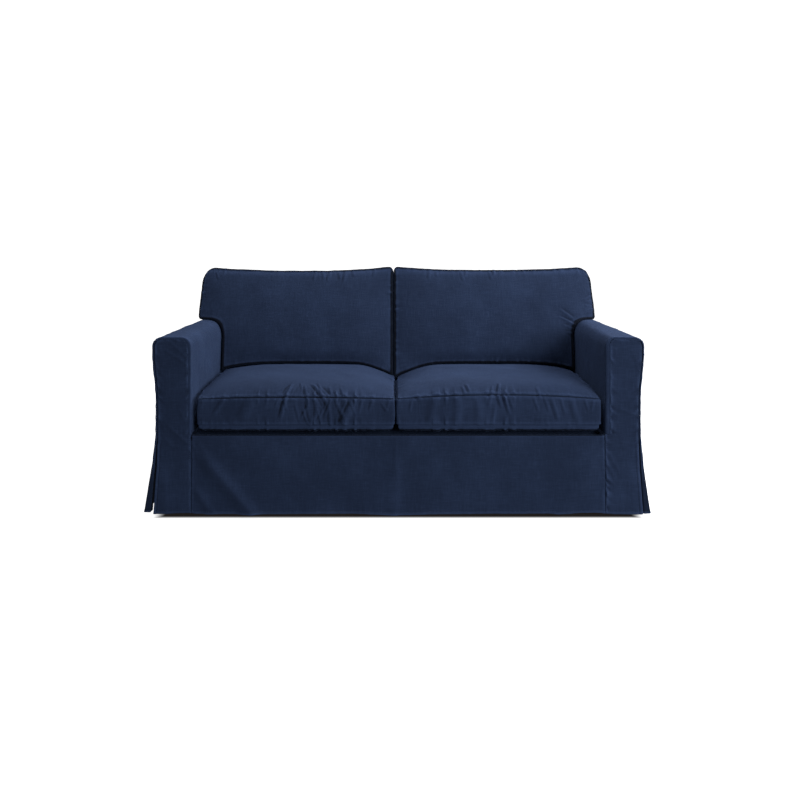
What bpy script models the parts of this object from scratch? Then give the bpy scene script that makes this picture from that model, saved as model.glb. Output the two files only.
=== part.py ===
"""Fitted slipcover for a two-seat sofa: one hollow frame cover and four covered cushions.

Metres. +Z is up and the sofa faces -Y. The origin is under the middle of the sofa, level
with the lowest point of the hem. Left and right are as seen from the front.
"""

import math

import bmesh
import bpy
from mathutils import Vector

# Cloth
CLOTH = 0.002  # thickness of the sewn cloth with its turnings
GAP = 0.0003  # between one piece and the next
ARC_STEPS = 3  # facets in each rounded edge
ROLL = 0.008  # radius of the turn where a side panel comes round onto the front
LIP = 0.002  # flat strip beyond such a turn, up to the seam

# Frame cover
HALF_WIDTH = 0.889  # to the outer face of an arm
HALF_DEPTH = 0.490
ARM_INSIDE = 0.766  # from the middle to the inner face of an arm, at the front
ARM_TAPER = 0.033  # how much thinner an arm is at its back end
ARM_TOP = 0.650
ARM_ROUND = 0.028  # radius along the arm's two upper edges
ARM_BULGE = 0.0125  # how far the padding pushes an arm out at its top
BULGE_FROM, BULGE_TO = 0.42, 0.60
DECK_TOP = 0.298
DECK_ROUND = 0.010
APRON_HALF = 0.760  # from the middle to the seam between apron and arm front
BACK_TOP = 0.815
BACK_FOOT = 0.190  # where the inside back meets the deck
BACK_RAKE = 0.365  # how far the inside back leans for each metre of height
BACK_ROUND = 0.024
BACK_HALF = 0.893  # to the outer face of the back, above the arms
VENT_TOP = 0.262  # the corners are open from here to the hem

# Skirt
FLARE_FROM = 0.285  # below this height the side panels swing out
FLARE_SLOPE = {"left": 0.165, "right": 0.140}
FRONT_FLARE = 0.067  # how far an arm front widens for each metre below the vent's top
HEM_FORWARD = 0.008  # how far the front and back hang out at the hem
HEM_FRONT = (  # x, height of the front hem
    (-0.90, 0.006), (-0.78, 0.010), (-0.66, 0.007), (-0.50, 0.006), (-0.15, 0.0075),
    (0.00, 0.002), (0.15, 0.0065), (0.60, 0.009), (0.72, 0.0115), (0.80, 0.005), (0.90, 0.003),
)
HEM_SIDE = 0.010

# Folds of the front: a soft ridge along a line, x and z of both ends, half width and height
FRONT_FOLDS = (
    ("seat corner to hem, left", -0.735, 0.235, -0.560, 0.030, 0.026, 0.009),
    ("beside it, at the hem", -0.748, 0.100, -0.690, 0.020, 0.016, 0.005),
    ("left arm front, at the hem", -0.862, 0.170, -0.852, 0.020, 0.022, 0.004),
    ("middle fold", -0.004, 0.230, -0.012, 0.000, 0.022, 0.005),
    ("seat corner to hem, right", 0.740, 0.215, 0.610, 0.020, 0.030, 0.005),
    ("right arm front", 0.850, 0.200, 0.870, 0.010, 0.022, 0.003),
)
# Folds of the outside back, in the same columns
BACK_FOLDS = (
    ("left of the middle", -0.420, 0.300, -0.470, 0.000, 0.045, 0.006),
    ("right of the middle", 0.380, 0.280, 0.440, 0.000, 0.050, 0.006),
    ("left corner", -0.820, 0.200, -0.790, 0.000, 0.030, 0.005),
    ("right corner", 0.815, 0.210, 0.790, 0.000, 0.030, 0.005),
)

# Seat cushions: ends in x, how far the crown's middle lies off centre
SEAT_SPANS = {"left": (-0.751, -0.0173, 0.0), "right": (-0.0043, 0.7565, -0.10)}
SEAT_FRONT = -0.477
SEAT_REAR = 0.184
SEAT_UNDERSIDE = DECK_TOP + GAP
SEAT_SEAM = 0.425  # height of the upper seam
SEAT_CROWN = 0.056
SEAT_DRAWN_IN = 0.006  # how far the border pulls in at its two seams
SEAT_CORNER = 0.003  # how far its four upright corners are rounded off
SEAT_LOWER_CORNER = 0.010  # how far the lower edge rises at its two ends
SEAT_ACROSS = (-1.0, -0.95, -0.60, -0.20, 0.20, 0.60, 0.95, 1.0)
SEAT_BACK = (-1.0, -0.95, -0.50, 0.0, 0.50, 0.93, 1.0)
SEAT_LOADED = 0.45  # share of the crown that the back cushion presses out of the rear

# Back cushions
BACK_CUSHION_TOP = 0.903
BACK_CUSHION_DIP = 0.017  # how far the top edge sags between its corners
BACK_CUSHION_TILT = 0.040  # how far its top falls from the front edge to the rear one
BACK_CUSHION_EAR = 0.899  # from the middle to the outer end of an ear
BACK_CUSHION_NOTCH = ARM_INSIDE - 0.0025  # at the front; it follows the arm's inner face
BACK_CUSHION_MIDDLE = -0.0200  # where the two cushions meet
BACK_CUSHION_PART = 0.0025  # half the gap between them
BACK_CUSHION_FACE = 0.034  # y of the front at SEAT_LINE
SEAT_LINE = 0.440
BACK_CUSHION_CROWN = 0.030
BACK_CUSHION_CORNER = 0.018  # how far the outer upper corner is drawn in, the inner one half of it
BACK_CUSHION_DEPTH = 0.120  # of the underside, front to rear
BACK_CUSHION_FOOT = 0.440  # height of the underside before it is laid on the seat's crown
BACK_CUSHION_CLEAR = 0.0007  # what its cage stands off the seat, so that it is clear once rounded

NAVY = (0.022, 0.034, 0.078)
NAVY_CUSHION = (0.026, 0.040, 0.088)


def clamp(value):
    return min(1.0, max(0.0, value))


def smooth(start, end, value):
    """0 at start and 1 at end, without a corner at either."""
    t = clamp((value - start) / (end - start))
    return t * t * (3.0 - 2.0 * t)


def between(start, end, steps):
    """The values from start to end in equal steps, both ends included."""
    return [start + (end - start) * i / steps for i in range(steps + 1)]


def read_off(table, where):
    """The value at a place in a table of (place, value) rows, eased from row to row."""
    for (low, first), (high, second) in zip(table, table[1:]):
        if where <= high:
            return first + (second - first) * smooth(low, high, where)
    return table[-1][1]


def rounded_path(corners, radii, steps, runs):
    """Straight runs with an arc at each inner corner.

    Gives (point, outward normal) pairs, with the outward side on the left of the way along.
    runs holds the number of parts of each straight run, and steps those of each arc.
    """
    corners = [Vector(corner) for corner in corners]
    stations = []
    start = corners[0]
    for index in range(len(corners) - 1):
        way = (corners[index + 1] - corners[index]).normalized()
        normal = Vector((-way.y, way.x))
        end = corners[index + 1]
        turn = 0.0
        if index < len(radii):
            onward = (corners[index + 2] - end).normalized()
            turn = way.angle_signed(onward)
            end = end - way * radii[index] * math.tan(abs(turn) / 2)
        first = 0 if index == 0 else 1
        for part in range(first, runs[index] + 1):
            stations.append((start.lerp(end, part / runs[index]), normal))
        if not turn:
            continue
        centre = end - normal * radii[index]
        for step in range(1, steps + 1):
            angle = -turn * step / steps
            outward = Vector(
                (
                    normal.x * math.cos(angle) - normal.y * math.sin(angle),
                    normal.x * math.sin(angle) + normal.y * math.cos(angle),
                )
            )
            stations.append((centre + outward * radii[index], outward))
        start = stations[-1][0]
    return stations


def split_at(section, arc_start, steps):
    """The two halves of a section that is cut in the middle of an arc, with a seam's gap."""
    first = arc_start + steps // 2
    (low, low_normal), (high, high_normal) = section[first], section[first + 1]
    seam = (low + high) / 2
    half_gap = (high - low).normalized() * GAP / 2
    normal = (low_normal + high_normal) / 2
    return (
        [*section[: first + 1], (seam - half_gap, normal)],
        [(seam + half_gap, normal), *section[first + 1 :]],
    )


def cloth_material(name, colour):
    """Washed cotton: matt, with a little sheen."""
    material = bpy.data.materials.new(name)
    material.use_nodes = True
    shader = material.node_tree.nodes["Principled BSDF"]
    shader.inputs["Base Color"].default_value = (*colour, 1.0)
    shader.inputs["Roughness"].default_value = 0.9
    shader.inputs["Metallic"].default_value = 0.0
    return material


def add_object(name, shape, collection, colour):
    mesh = bpy.data.meshes.new(name)
    shape.to_mesh(mesh)
    shape.free()
    mesh.shade_smooth()
    mesh.materials.append(cloth_material(name, colour))
    piece = bpy.data.objects.new(name, mesh)
    collection.objects.link(piece)
    return piece


def sheet(name, across, along, place, outward, collection, keep=None):
    """A panel of cloth: an open grid whose corners go where place(u, v) says, made CLOTH thick.

    across and along list the stations, place gives the outer face, and the thickness goes
    away from outward. keep(i, j) says whether the cell at column i and row j is there.
    """
    columns, rows = len(across) - 1, len(along) - 1
    grid = bmesh.new()
    bmesh.ops.create_grid(grid, x_segments=columns, y_segments=rows, size=0.5)
    if keep:
        spare = []
        for face in grid.faces:
            middle = face.calc_center_median()
            column = int((middle.x + 0.5) * columns)
            row = int((middle.y + 0.5) * rows)
            if not keep(column, row):
                spare.append(face)
        bmesh.ops.delete(grid, geom=spare, context="FACES")
    for vert in grid.verts:
        u = across[round((vert.co.x + 0.5) * columns)]
        v = along[round((vert.co.y + 0.5) * rows)]
        vert.co = place(u, v)
    grid.normal_update()
    facing = sum((face.normal * face.calc_area() for face in grid.faces), Vector())
    if facing.dot(Vector(outward)) < 0:
        bmesh.ops.reverse_faces(grid, faces=grid.faces)
    panel = add_object(name, grid, collection, NAVY)
    thickness = panel.modifiers.new("Cloth", "SOLIDIFY")
    thickness.thickness = CLOTH
    thickness.offset = -1.0
    thickness.use_even_offset = True
    return panel


# ---- shared lines of the frame cover ----


def arm_side(z):
    """x of the outer face of an arm, pushed out by the padding near its top."""
    return HALF_WIDTH + ARM_BULGE * smooth(BULGE_FROM, BULGE_TO, z)


def arm_inner(y):
    """x of an arm's inner face, which stands upright and runs outwards to the back."""
    start = ROLL - HALF_DEPTH
    return ARM_INSIDE + ARM_TAPER * clamp((y - start) / (HALF_DEPTH - start))


def back_face(z):
    """y of the inside back's face."""
    return BACK_FOOT + BACK_RAKE * (z - DECK_TOP)


ARM_HEIGHTS = [*between(0.0, DECK_TOP, 6), *between(DECK_TOP + GAP, ARM_TOP - ARM_ROUND, 5)]


def arm_sections():
    """The arm's section as (x, z) stations, parted at the seam along its outer top edge.

    It runs up the inner face, over the top and down the outer face.
    """
    outside = HALF_WIDTH + ARM_BULGE
    start = DECK_TOP + GAP
    corners = ((ARM_INSIDE, start), (ARM_INSIDE, ARM_TOP), (outside, ARM_TOP), (outside, start))
    up, over = 4, 2
    section = rounded_path(corners, (ARM_ROUND, ARM_ROUND), ARC_STEPS, (up, over, 1))[:-1]
    outward = section[-1][1]
    section += [(Vector((outside, z)), outward) for z in reversed(ARM_HEIGHTS[:-1])]
    return split_at(section, up + ARC_STEPS + over, ARC_STEPS)


def back_sections():
    """The back's section as (y, z) stations, parted at the seam along its rear top edge.

    It starts level with the arms' tops, runs up the inside and over, and ends level with them.
    """
    start = ARM_TOP + GAP
    top = back_face(BACK_TOP)
    corners = ((back_face(start), start), (top, BACK_TOP), (HALF_DEPTH, BACK_TOP), (HALF_DEPTH, start))
    up, over, down = 2, 2, 1
    section = rounded_path(corners, (BACK_ROUND, BACK_ROUND), ARC_STEPS, (up, over, down))
    return split_at(section, up + ARC_STEPS + over, ARC_STEPS)


def front_roll(distance):
    """How a panel comes round from the front: (inset from its own plane, distance behind the front).

    The turn starts at 0, and a negative distance lies on the flat lip before it.
    """
    angle = min(max(distance, 0.0) / ROLL, math.pi / 2)
    behind = ROLL * (1 - math.cos(angle)) + max(0.0, distance - ROLL * math.pi / 2)
    return ROLL * (1 - math.sin(angle)) + max(0.0, -distance), behind


ROLL_END = ROLL * math.pi / 2
ROLL_STATIONS = [-LIP, *between(0.0, ROLL_END, 3)]


def ridges(folds, x, z):
    """Height of the folds at a place on a panel. A fold fades out past its ends."""
    height = 0.0
    for _, x0, z0, x1, z1, half_width, rise in folds:
        way = Vector((x1 - x0, z1 - z0))
        offset = Vector((x - x0, z - z0))
        along = offset.dot(way) / way.length_squared
        aside = (offset - way * along).length
        fade = smooth(-0.15, 0.30, along) * (1 - smooth(1.0, 1.6, along))
        height += rise * fade * math.exp(-((aside / half_width) ** 2))
    return height


def hanging(z, hem):
    """A height on a panel whose lower edge is lifted to its hem."""
    return z + hem * (1 - clamp(z / VENT_TOP))


def skirt_swing(z):
    """How far the front and the back hang out, none above the seat and most at the hem."""
    return HEM_FORWARD * (1 - clamp(z / DECK_TOP))


# ---- panels of the frame cover ----


def seat_deck(collection):
    side = ARM_INSIDE
    tab = APRON_HALF + GAP
    front = -HALF_DEPTH
    across = [-side, *between(-tab, tab, 4), side]
    along = [front + CLOTH + GAP, front + DECK_ROUND + LIP + GAP, -0.25, 0.0, BACK_FOOT - GAP]
    last_column = len(across) - 2

    def keep(column, row):
        return row > 0 or column in (0, last_column)

    def place(x, y):
        if abs(x) > tab:
            x = math.copysign(arm_inner(y) - GAP, x)
        return (x, y, DECK_TOP)

    sheet("seat_deck", across, along, place, (0, 0, 1), collection, keep)


def front_apron(collection):
    """Round the deck's front edge and down to the hem."""
    half = APRON_HALF - GAP
    x_stations = (
        *between(-half, -0.52, 7), *between(-0.42, -0.10, 3), *between(-0.05, 0.04, 4),
        *between(0.12, 0.46, 3), *between(0.54, half, 5),
    )
    rear = -HALF_DEPTH + DECK_ROUND + LIP
    corners = ((-HALF_DEPTH, 0.0), (-HALF_DEPTH, DECK_TOP), (rear, DECK_TOP))
    section = rounded_path(corners, (DECK_ROUND,), ARC_STEPS, (6, 1))

    def place(x, station):
        (y, z), _ = station
        forward = skirt_swing(z) + ridges(FRONT_FOLDS, x, z)
        return (x, y - forward, hanging(z, read_off(HEM_FRONT, x)))

    sheet("front_apron", x_stations, section, place, (0, -1, 0), collection)


def arm_front(name, side, collection):
    """The long panel on an arm's front: square to the hem, rounded at its two top corners."""
    seam = ROLL + LIP + GAP
    inner = ARM_INSIDE + seam
    top = ARM_TOP - seam
    radius = ARM_ROUND - seam
    corner = between(0.0, math.pi / 2, ARC_STEPS)[1:]
    heights = [*ARM_HEIGHTS, *(top - radius * (1 - math.sin(angle)) for angle in corner)]

    def edges(z):
        above = max(0.0, z - (top - radius))
        cut = radius - math.sqrt(max(0.0, radius**2 - above**2))
        low = inner + cut if z > DECK_TOP else APRON_HALF
        high = arm_side(z) - seam - cut + FRONT_FLARE * max(0.0, VENT_TOP - z)
        return low, high

    def place(u, z):
        low, high = edges(z)
        x = side * (low + (high - low) * u)
        forward = skirt_swing(z) + ridges(FRONT_FOLDS, x, z)
        return (x, -HALF_DEPTH - forward, hanging(z, read_off(HEM_FRONT, x)))

    sheet(name, between(0.0, 1.0, 5), heights, place, (0, -1, 0), collection)


def inside_arm(name, side, collection):
    """Up the arm's inner face and over its top, with its front edge turned onto the front."""
    section, _ = arm_sections()
    across = [*ROLL_STATIONS, *(ROLL_END + part for part in between(0.0, 1.0, 4)[1:])]
    outer_arc = HALF_WIDTH + ARM_BULGE - ARM_ROUND

    def place(distance, station):
        (x, z), normal = station
        inset, behind = front_roll(min(distance, ROLL_END))
        part = max(0.0, distance - ROLL_END)
        rear = back_face(z) - GAP
        y = -HALF_DEPTH + behind
        y += (rear - y) * part
        share = clamp((outer_arc - x) / (outer_arc - ARM_INSIDE))
        x += (arm_inner(y) - ARM_INSIDE) * share - normal.x * inset
        return (side * x, y, z - normal.y * inset)

    sheet(name, across, section, place, (-side, 0, 1), collection)


def outside_arm(name, side, collection):
    """From the arm's outer top edge to the hem, swinging out below the corner vents."""
    _, section = arm_sections()
    depth = 2 * HALF_DEPTH - ROLL - CLOTH - GAP
    across = [*ROLL_STATIONS, *(ROLL_END + depth * part for part in between(0.0, 1.0, 8)[1:])]
    slope = FLARE_SLOPE["left" if side < 0 else "right"]

    def swing(part, z):
        """Most at the two vents, with one soft wave along the skirt."""
        ends = 0.45 + 0.55 * abs(2 * part - 1) ** 1.5
        wave = 0.10 * math.sin(part * 3 * math.pi)
        return slope * (ends + wave * smooth(0.05, 0.25, part)) * max(0.0, FLARE_FROM - z)

    def place(distance, station):
        (x, z), normal = station
        inset, behind = front_roll(distance)
        part = clamp(behind / (2 * HALF_DEPTH))
        drawn_in = HALF_WIDTH + ARM_BULGE - arm_side(z)
        x = x - drawn_in - normal.x * inset + swing(part, z)
        return (side * x, -HALF_DEPTH + behind, hanging(z, HEM_SIDE) - normal.y * inset)

    sheet(name, across, section, place, (side, 0, 0), collection)


def inside_back(collection):
    """From the deck up and over the top of the back. The arms take a corner out of each side."""
    narrow = ARM_INSIDE
    wide = BACK_HALF - CLOTH - GAP
    across = [-wide, *between(-narrow, narrow, 6), wide]
    upper, _ = back_sections()
    lower = [(Vector((back_face(z), z)), None) for z in (DECK_TOP + GAP, 0.46)]
    section = [*lower, *upper]
    last_column = len(across) - 2

    def keep(column, row):
        return row >= 2 or column not in (0, last_column)

    def place(x, station):
        (y, z), _ = station
        if abs(x) <= narrow:
            x *= (arm_inner(back_face(min(z, ARM_TOP))) - GAP) / narrow
        return (x, y, z)

    sheet("inside_back", across, section, place, (0, -1, 1), collection, keep)


# The seam along an arm's outer top edge, where the end of the back begins behind the arm
BACK_SIDE_FOOT = ARM_TOP - ARM_ROUND * (1 - math.sin(math.pi / 4)) + 2 * GAP


def back_side(name, side, collection):
    """The narrow end of the back, above the arm."""
    start = BACK_TOP - BACK_ROUND
    heights = [BACK_SIDE_FOOT, ARM_TOP + GAP, 0.72, start]
    heights += [start + BACK_ROUND * math.sin(angle) for angle in between(0, math.pi / 2, 4)[1:]]

    def place(u, z):
        above = max(0.0, z - start)
        cut = BACK_ROUND - math.sqrt(max(0.0, BACK_ROUND**2 - above**2))
        front = back_face(max(z, ARM_TOP)) + GAP + cut * 0.7
        rear = HALF_DEPTH - cut
        return (side * BACK_HALF, front + (rear - front) * u, z)

    sheet(name, between(0.0, 1.0, 3), heights, place, (side, 0, 0), collection)


def outside_back(collection):
    """From the top of the back to the hem."""
    _, upper = back_sections()
    behind_arm = BACK_SIDE_FOOT - GAP
    heights = (behind_arm, behind_arm - GAP, 0.60, 0.48, 0.36, 0.285, 0.20, 0.12, 0.05, 0.0)
    section = [*upper, *((Vector((HALF_DEPTH, z)), None) for z in heights)]

    def half(z):
        """Inside the back's ends above the arms, and level with the arms' outer faces below."""
        if z > behind_arm - GAP / 2:
            return BACK_HALF - CLOTH - GAP
        return arm_side(z) + FRONT_FLARE * max(0.0, VENT_TOP - z)

    def place(u, station):
        (y, z), _ = station
        x = u * half(z)
        out = skirt_swing(z) + ridges(BACK_FOLDS, x, z)
        return (x, y + out, hanging(z, HEM_SIDE * 0.6))

    sheet("outside_back", between(-1.0, 1.0, 14), section, place, (0, 1, 0), collection)


# ---- cushions ----


def seat_top(where, off_centre, depth):
    """Height of a seat cushion's top; where and depth run from -1 to 1 across and back."""
    shifted = clamp(abs((where - off_centre * (1 - where**2))))
    sideways = 1 - shifted**5
    back_and_forth = 1 - abs(depth) ** 6
    pressed = 1 - SEAT_LOADED * smooth(0.20, 0.95, depth)
    return SEAT_SEAM + SEAT_CROWN * sideways * back_and_forth * pressed


def seat_ends(span, y):
    """The two ends of a seat cushion in x, the outer one following the arm."""
    low, high, off_centre = span
    wider = arm_inner(y) - ARM_INSIDE
    if low + high < 0:
        return low - wider, high, off_centre
    return low, high + wider, off_centre


def seat_under(span, x, y):
    """Height of a seat cushion's top at a place in the cover's own coordinates."""
    low, high, off_centre = seat_ends(span, y)
    across = max(-1.0, min(1.0, (2 * x - low - high) / (high - low)))
    depth = max(-1.0, min(1.0, (2 * y - SEAT_FRONT - SEAT_REAR) / (SEAT_REAR - SEAT_FRONT)))
    return seat_top(across, off_centre, depth)


def box_cage(columns, rows, layers):
    """A closed box cut into a coarse grid, whose corners carry their column, row and layer."""
    cage = bmesh.new()
    bmesh.ops.create_cube(cage, size=1.0)
    sides = Vector((columns, rows, layers))
    for axis, parts in enumerate(sides):
        along = [
            edge for edge in cage.edges
            if abs((edge.verts[1].co - edge.verts[0].co)[axis]) > GAP
        ]
        bmesh.ops.subdivide_edges(cage, edges=along, cuts=int(parts) - 1, use_grid_fill=False)
    for vert in cage.verts:
        vert.co = (vert.co + Vector((0.5, 0.5, 0.5))) * sides
    return cage


def face_out(cage):
    bmesh.ops.recalc_face_normals(cage, faces=cage.faces)
    if cage.calc_volume(signed=True) < 0:
        bmesh.ops.reverse_faces(cage, faces=cage.faces)


def soften(cushion):
    smoothing = cushion.modifiers.new("Filling", "SUBSURF")
    smoothing.levels = 1
    smoothing.render_levels = 1


def seat_cushion(name, span, collection):
    """A boxed cushion: flat below, a border all round and a crowned top."""
    centre_y, half_y = (SEAT_FRONT + SEAT_REAR) / 2, (SEAT_REAR - SEAT_FRONT) / 2
    lower_row, upper_row = SEAT_UNDERSIDE + 0.022, SEAT_SEAM - 0.020
    cage = box_cage(len(SEAT_ACROSS) - 1, len(SEAT_BACK) - 1, 3)
    for vert in cage.verts:
        column, row, layer = (round(index) for index in vert.co)
        across, back = SEAT_ACROSS[column], SEAT_BACK[row]
        corner = (across * back) ** 8
        at_seam = layer in (0, 3)
        draw = SEAT_DRAWN_IN * at_seam + SEAT_CORNER * corner
        y = centre_y + back * (half_y - draw * abs(back))
        low, high, off_centre = seat_ends(span, y)
        x = (low + high) / 2 + across * ((high - low) / 2 - draw * abs(across))
        z = (
            SEAT_UNDERSIDE + SEAT_LOWER_CORNER * across**20,
            lower_row,
            upper_row,
            seat_top(across, off_centre, back) + 0.004 * (1 - corner),
        )[layer]
        vert.co = (x, y, z)
    face_out(cage)
    soften(add_object(name, cage, collection, NAVY_CUSHION))


def notched_cage(across, up, notch_column, notch_row):
    """A closed slab: a grid over the outline, without the notch, given thickness.

    Its corners carry (x, thickness from -1 to 1, z).
    """
    columns, rows = len(across) - 1, len(up) - 1
    cage = bmesh.new()
    bmesh.ops.create_grid(cage, x_segments=columns, y_segments=rows, size=0.5)
    spare = []
    for face in cage.faces:
        middle = face.calc_center_median()
        if middle.x > notch_column / columns - 0.5 and middle.y < notch_row / rows - 0.5:
            spare.append(face)
    bmesh.ops.delete(cage, geom=spare, context="FACES")
    for vert in cage.verts:
        x = across[round((vert.co.x + 0.5) * columns)]
        z = up[round((vert.co.y + 0.5) * rows)]
        vert.co = (x, -1.0, z)
    for depth in (0.0, 1.0):
        rim = [face for face in cage.faces if all(abs(v.co.y - (depth - 1)) < 1e-6 for v in face.verts)]
        moved = bmesh.ops.extrude_face_region(cage, geom=rim, use_keep_orig=depth == 0.0)
        for item in moved["geom"]:
            if isinstance(item, bmesh.types.BMVert):
                item.co.y = depth
        if depth == 1.0:
            bmesh.ops.delete(cage, geom=[face for face in rim if face.is_valid], context="FACES_ONLY")
    return cage


def back_cushion(name, side, seat, collection):
    """A boxed cushion with an ear over the arm, leaning on the inside back."""
    inner = BACK_CUSHION_PART + side * BACK_CUSHION_MIDDLE
    span = BACK_CUSHION_EAR - inner
    x_stations = [
        inner, inner + 0.03, 0.20, 0.38, 0.56, 0.720,
        BACK_CUSHION_NOTCH, 0.797, 0.860, BACK_CUSHION_EAR,
    ]
    ear_foot = ARM_TOP + 3 * GAP
    z_stations = [BACK_CUSHION_FOOT, 0.475, 0.560, 0.622, ear_foot, 0.735, 0.845, BACK_CUSHION_TOP]
    cage = notched_cage(x_stations, z_stations, x_stations.index(BACK_CUSHION_NOTCH), 4)
    for vert in cage.verts:
        x, depth, z = vert.co
        across = 2 * (x - inner) / span - 1
        up = clamp((z - BACK_CUSHION_FOOT) / (BACK_CUSHION_TOP - BACK_CUSHION_FOOT))
        bump = (1 - abs(across) ** 5) * (1 - abs(2 * up - 1) ** 5)
        at_top = up**6
        corner = BACK_CUSHION_CORNER * across**14 * up**16 * (1.0 if across > 0 else 0.5)
        x_placed = x - math.copysign(corner, across)
        z_placed = z - corner - BACK_CUSHION_DIP * at_top * (1 - across**4)
        z_placed -= BACK_CUSHION_TILT * at_top * (depth + 1) / 2
        if z < z_stations[1] - GAP:
            y = BACK_CUSHION_FACE + BACK_CUSHION_CROWN + BACK_CUSHION_DEPTH * (depth + 1) / 2
            z_placed = BACK_CUSHION_CLEAR + seat_under(seat, side * x_placed, y)
        front = BACK_CUSHION_FACE + BACK_RAKE * (z_placed - SEAT_LINE)
        rear = back_face(z_placed) - GAP
        seam = front + BACK_CUSHION_CROWN * (1 - bump)
        y = {-1.0: seam, 0.0: (seam + rear) / 2, 1.0: rear}[round(depth)]
        share = min(x / BACK_CUSHION_NOTCH, (BACK_CUSHION_EAR - x) / (BACK_CUSHION_EAR - BACK_CUSHION_NOTCH))
        x_placed += (arm_inner(y) - ARM_INSIDE) * max(0.0, share)
        vert.co = (side * x_placed, y, z_placed)
    face_out(cage)
    soften(add_object(name, cage, collection, NAVY_CUSHION))


def clear_scene():
    for item in list(bpy.data.objects):
        bpy.data.objects.remove(item, do_unlink=True)


def main():
    clear_scene()
    collection = bpy.data.collections.new("sofa_slipcover")
    bpy.context.scene.collection.children.link(collection)
    seat_deck(collection)
    front_apron(collection)
    inside_back(collection)
    outside_back(collection)
    for hand, side in (("left", -1), ("right", 1)):
        arm_front(f"arm_front_{hand}", side, collection)
        inside_arm(f"inside_arm_{hand}", side, collection)
        outside_arm(f"outside_arm_{hand}", side, collection)
        back_side(f"back_side_{hand}", side, collection)
        seat_cushion(f"seat_cushion_{hand}", SEAT_SPANS[hand], collection)
        back_cushion(f"back_cushion_{hand}", side, SEAT_SPANS[hand], collection)


main()
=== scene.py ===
# %% [markdown]
# # A fitted slipcover for a two-seat sofa
# The real object is a loose cover, cut in flat panels from a washed navy weave, sewn, and
# drawn over a sofa. Four cushions lie on it: two boxed seat cushions and two back cushions,
# each with an ear over its arm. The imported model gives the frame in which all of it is
# built: metres, +Z up, the front facing -Y, and z = 0 just below the lowest point of the hem.

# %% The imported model
import math

import bmesh
import bpy
import numpy as np
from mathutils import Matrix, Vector


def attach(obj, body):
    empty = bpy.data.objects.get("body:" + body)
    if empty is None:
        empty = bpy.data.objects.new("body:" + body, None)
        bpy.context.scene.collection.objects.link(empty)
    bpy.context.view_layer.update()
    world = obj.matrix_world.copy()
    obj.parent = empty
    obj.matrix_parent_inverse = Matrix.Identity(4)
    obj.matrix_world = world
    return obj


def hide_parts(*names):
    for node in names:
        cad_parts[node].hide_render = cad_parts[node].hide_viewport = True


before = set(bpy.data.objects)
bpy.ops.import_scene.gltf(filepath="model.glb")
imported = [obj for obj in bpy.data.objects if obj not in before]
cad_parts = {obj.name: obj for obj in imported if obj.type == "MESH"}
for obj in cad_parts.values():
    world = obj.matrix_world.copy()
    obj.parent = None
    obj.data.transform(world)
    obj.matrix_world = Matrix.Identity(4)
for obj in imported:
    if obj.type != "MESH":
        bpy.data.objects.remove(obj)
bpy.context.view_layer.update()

print("nodes:", ", ".join(sorted(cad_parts)))

# %% [markdown]
# ## The measures of the cover
# A sewn cover is drafted from the measures of the sofa under it. These are the named measures
# of the solid model, with the arms a few millimetres fuller, because the padding swells the
# cloth there. So each panel made below lies on the solid it stands for.

# %% Measures of the frame cover
CLOTH = 0.0018  # thickness of the sewn cloth
GAP = 0.0003  # between two panels
NEAR = 1e-6  # nearer than this is the same place
LIP = 0.002  # of one panel past the edge of the next
ALLOWANCE = 0.010  # of cloth turned in behind a seam
HALF_WIDTH, HALF_DEPTH = 0.889, 0.490
ARM_INSIDE, ARM_TAPER, ARM_TOP, ARM_ROUND = 0.761, 0.038, 0.6545, 0.038
ARM_BULGE, ARM_SWELL = 0.0125, 0.0045  # of the top of an arm, and of all its outer face
INNER_ROUND = (0.036, 0.076)  # of an arm's inner edge, in front and at the back
FRONT_SEAM = {-1: 0.0090, 1: 0.0165}  # from an arm's inner face to the seam on its front
TOP_SEAM, OUTER_SEAM = 0.0070, 0.0085  # the same from its top and from its outer face
DECK_TOP, DECK_ROUND, APRON_HALF = 0.298, 0.010, 0.760
BACK_TOP, BACK_FOOT, BACK_RAKE, BACK_ROUND, BACK_HALF = 0.815, 0.190, 0.365, 0.024, 0.893
VENT_TOP, FLARE_FROM, FRONT_FLARE, HEM_FORWARD = 0.262, 0.285, 0.067, 0.008
HEM_SIDE, HEM_REAR = {-1: 0.010, 1: 0.0055}, 0.006  # height of the hem below arms and back
HEM_THREAD, HEM_DIP = 0.0105, 0.0108  # height of a hem's stitches, and of the dip they pull
FLARE_SLOPE = {-1: 0.165, 1: 0.140}  # of the left and the right side of the skirt
HEM_FRONT = (  # x, height of the front hem
    (-0.90, 0.006), (-0.78, 0.010), (-0.66, 0.007), (-0.50, 0.006), (-0.15, 0.0075),
    (0.00, 0.002), (0.15, 0.0065), (0.60, 0.009), (0.72, 0.0115), (0.80, 0.0065), (0.90, 0.0055),
)
HANDS = ((-1, "left"), (1, "right"))

# %% [markdown]
# ## Small tools for drafting
# Cloth is uneven, but softly so. Four helpers are enough for every panel: a step without
# corners, a table that is read with eased values between its rows, a bell, and soft random
# hills from a seeded lattice, which come out the same on each run.

# %% Soft steps, tables and hills
def smooth(start, end, value):
    """0 at start and 1 at end, with no corner at either."""
    t = np.clip((value - start) / (end - start), 0.0, 1.0)
    return t * t * (3.0 - 2.0 * t)


def read_off(table, where):
    """The value at a place in rows of (place, value), eased from row to row."""
    places, values = np.array(table).T
    row = np.clip(np.searchsorted(places, where) - 1, 0, len(places) - 2)
    part = smooth(places[row], places[row + 1], where)
    return values[row] + (values[row + 1] - values[row]) * part


def bell(value, width):
    """1 at 0, falling softly to 0 on both sides."""
    return np.exp(-((value / width) ** 2))


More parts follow.
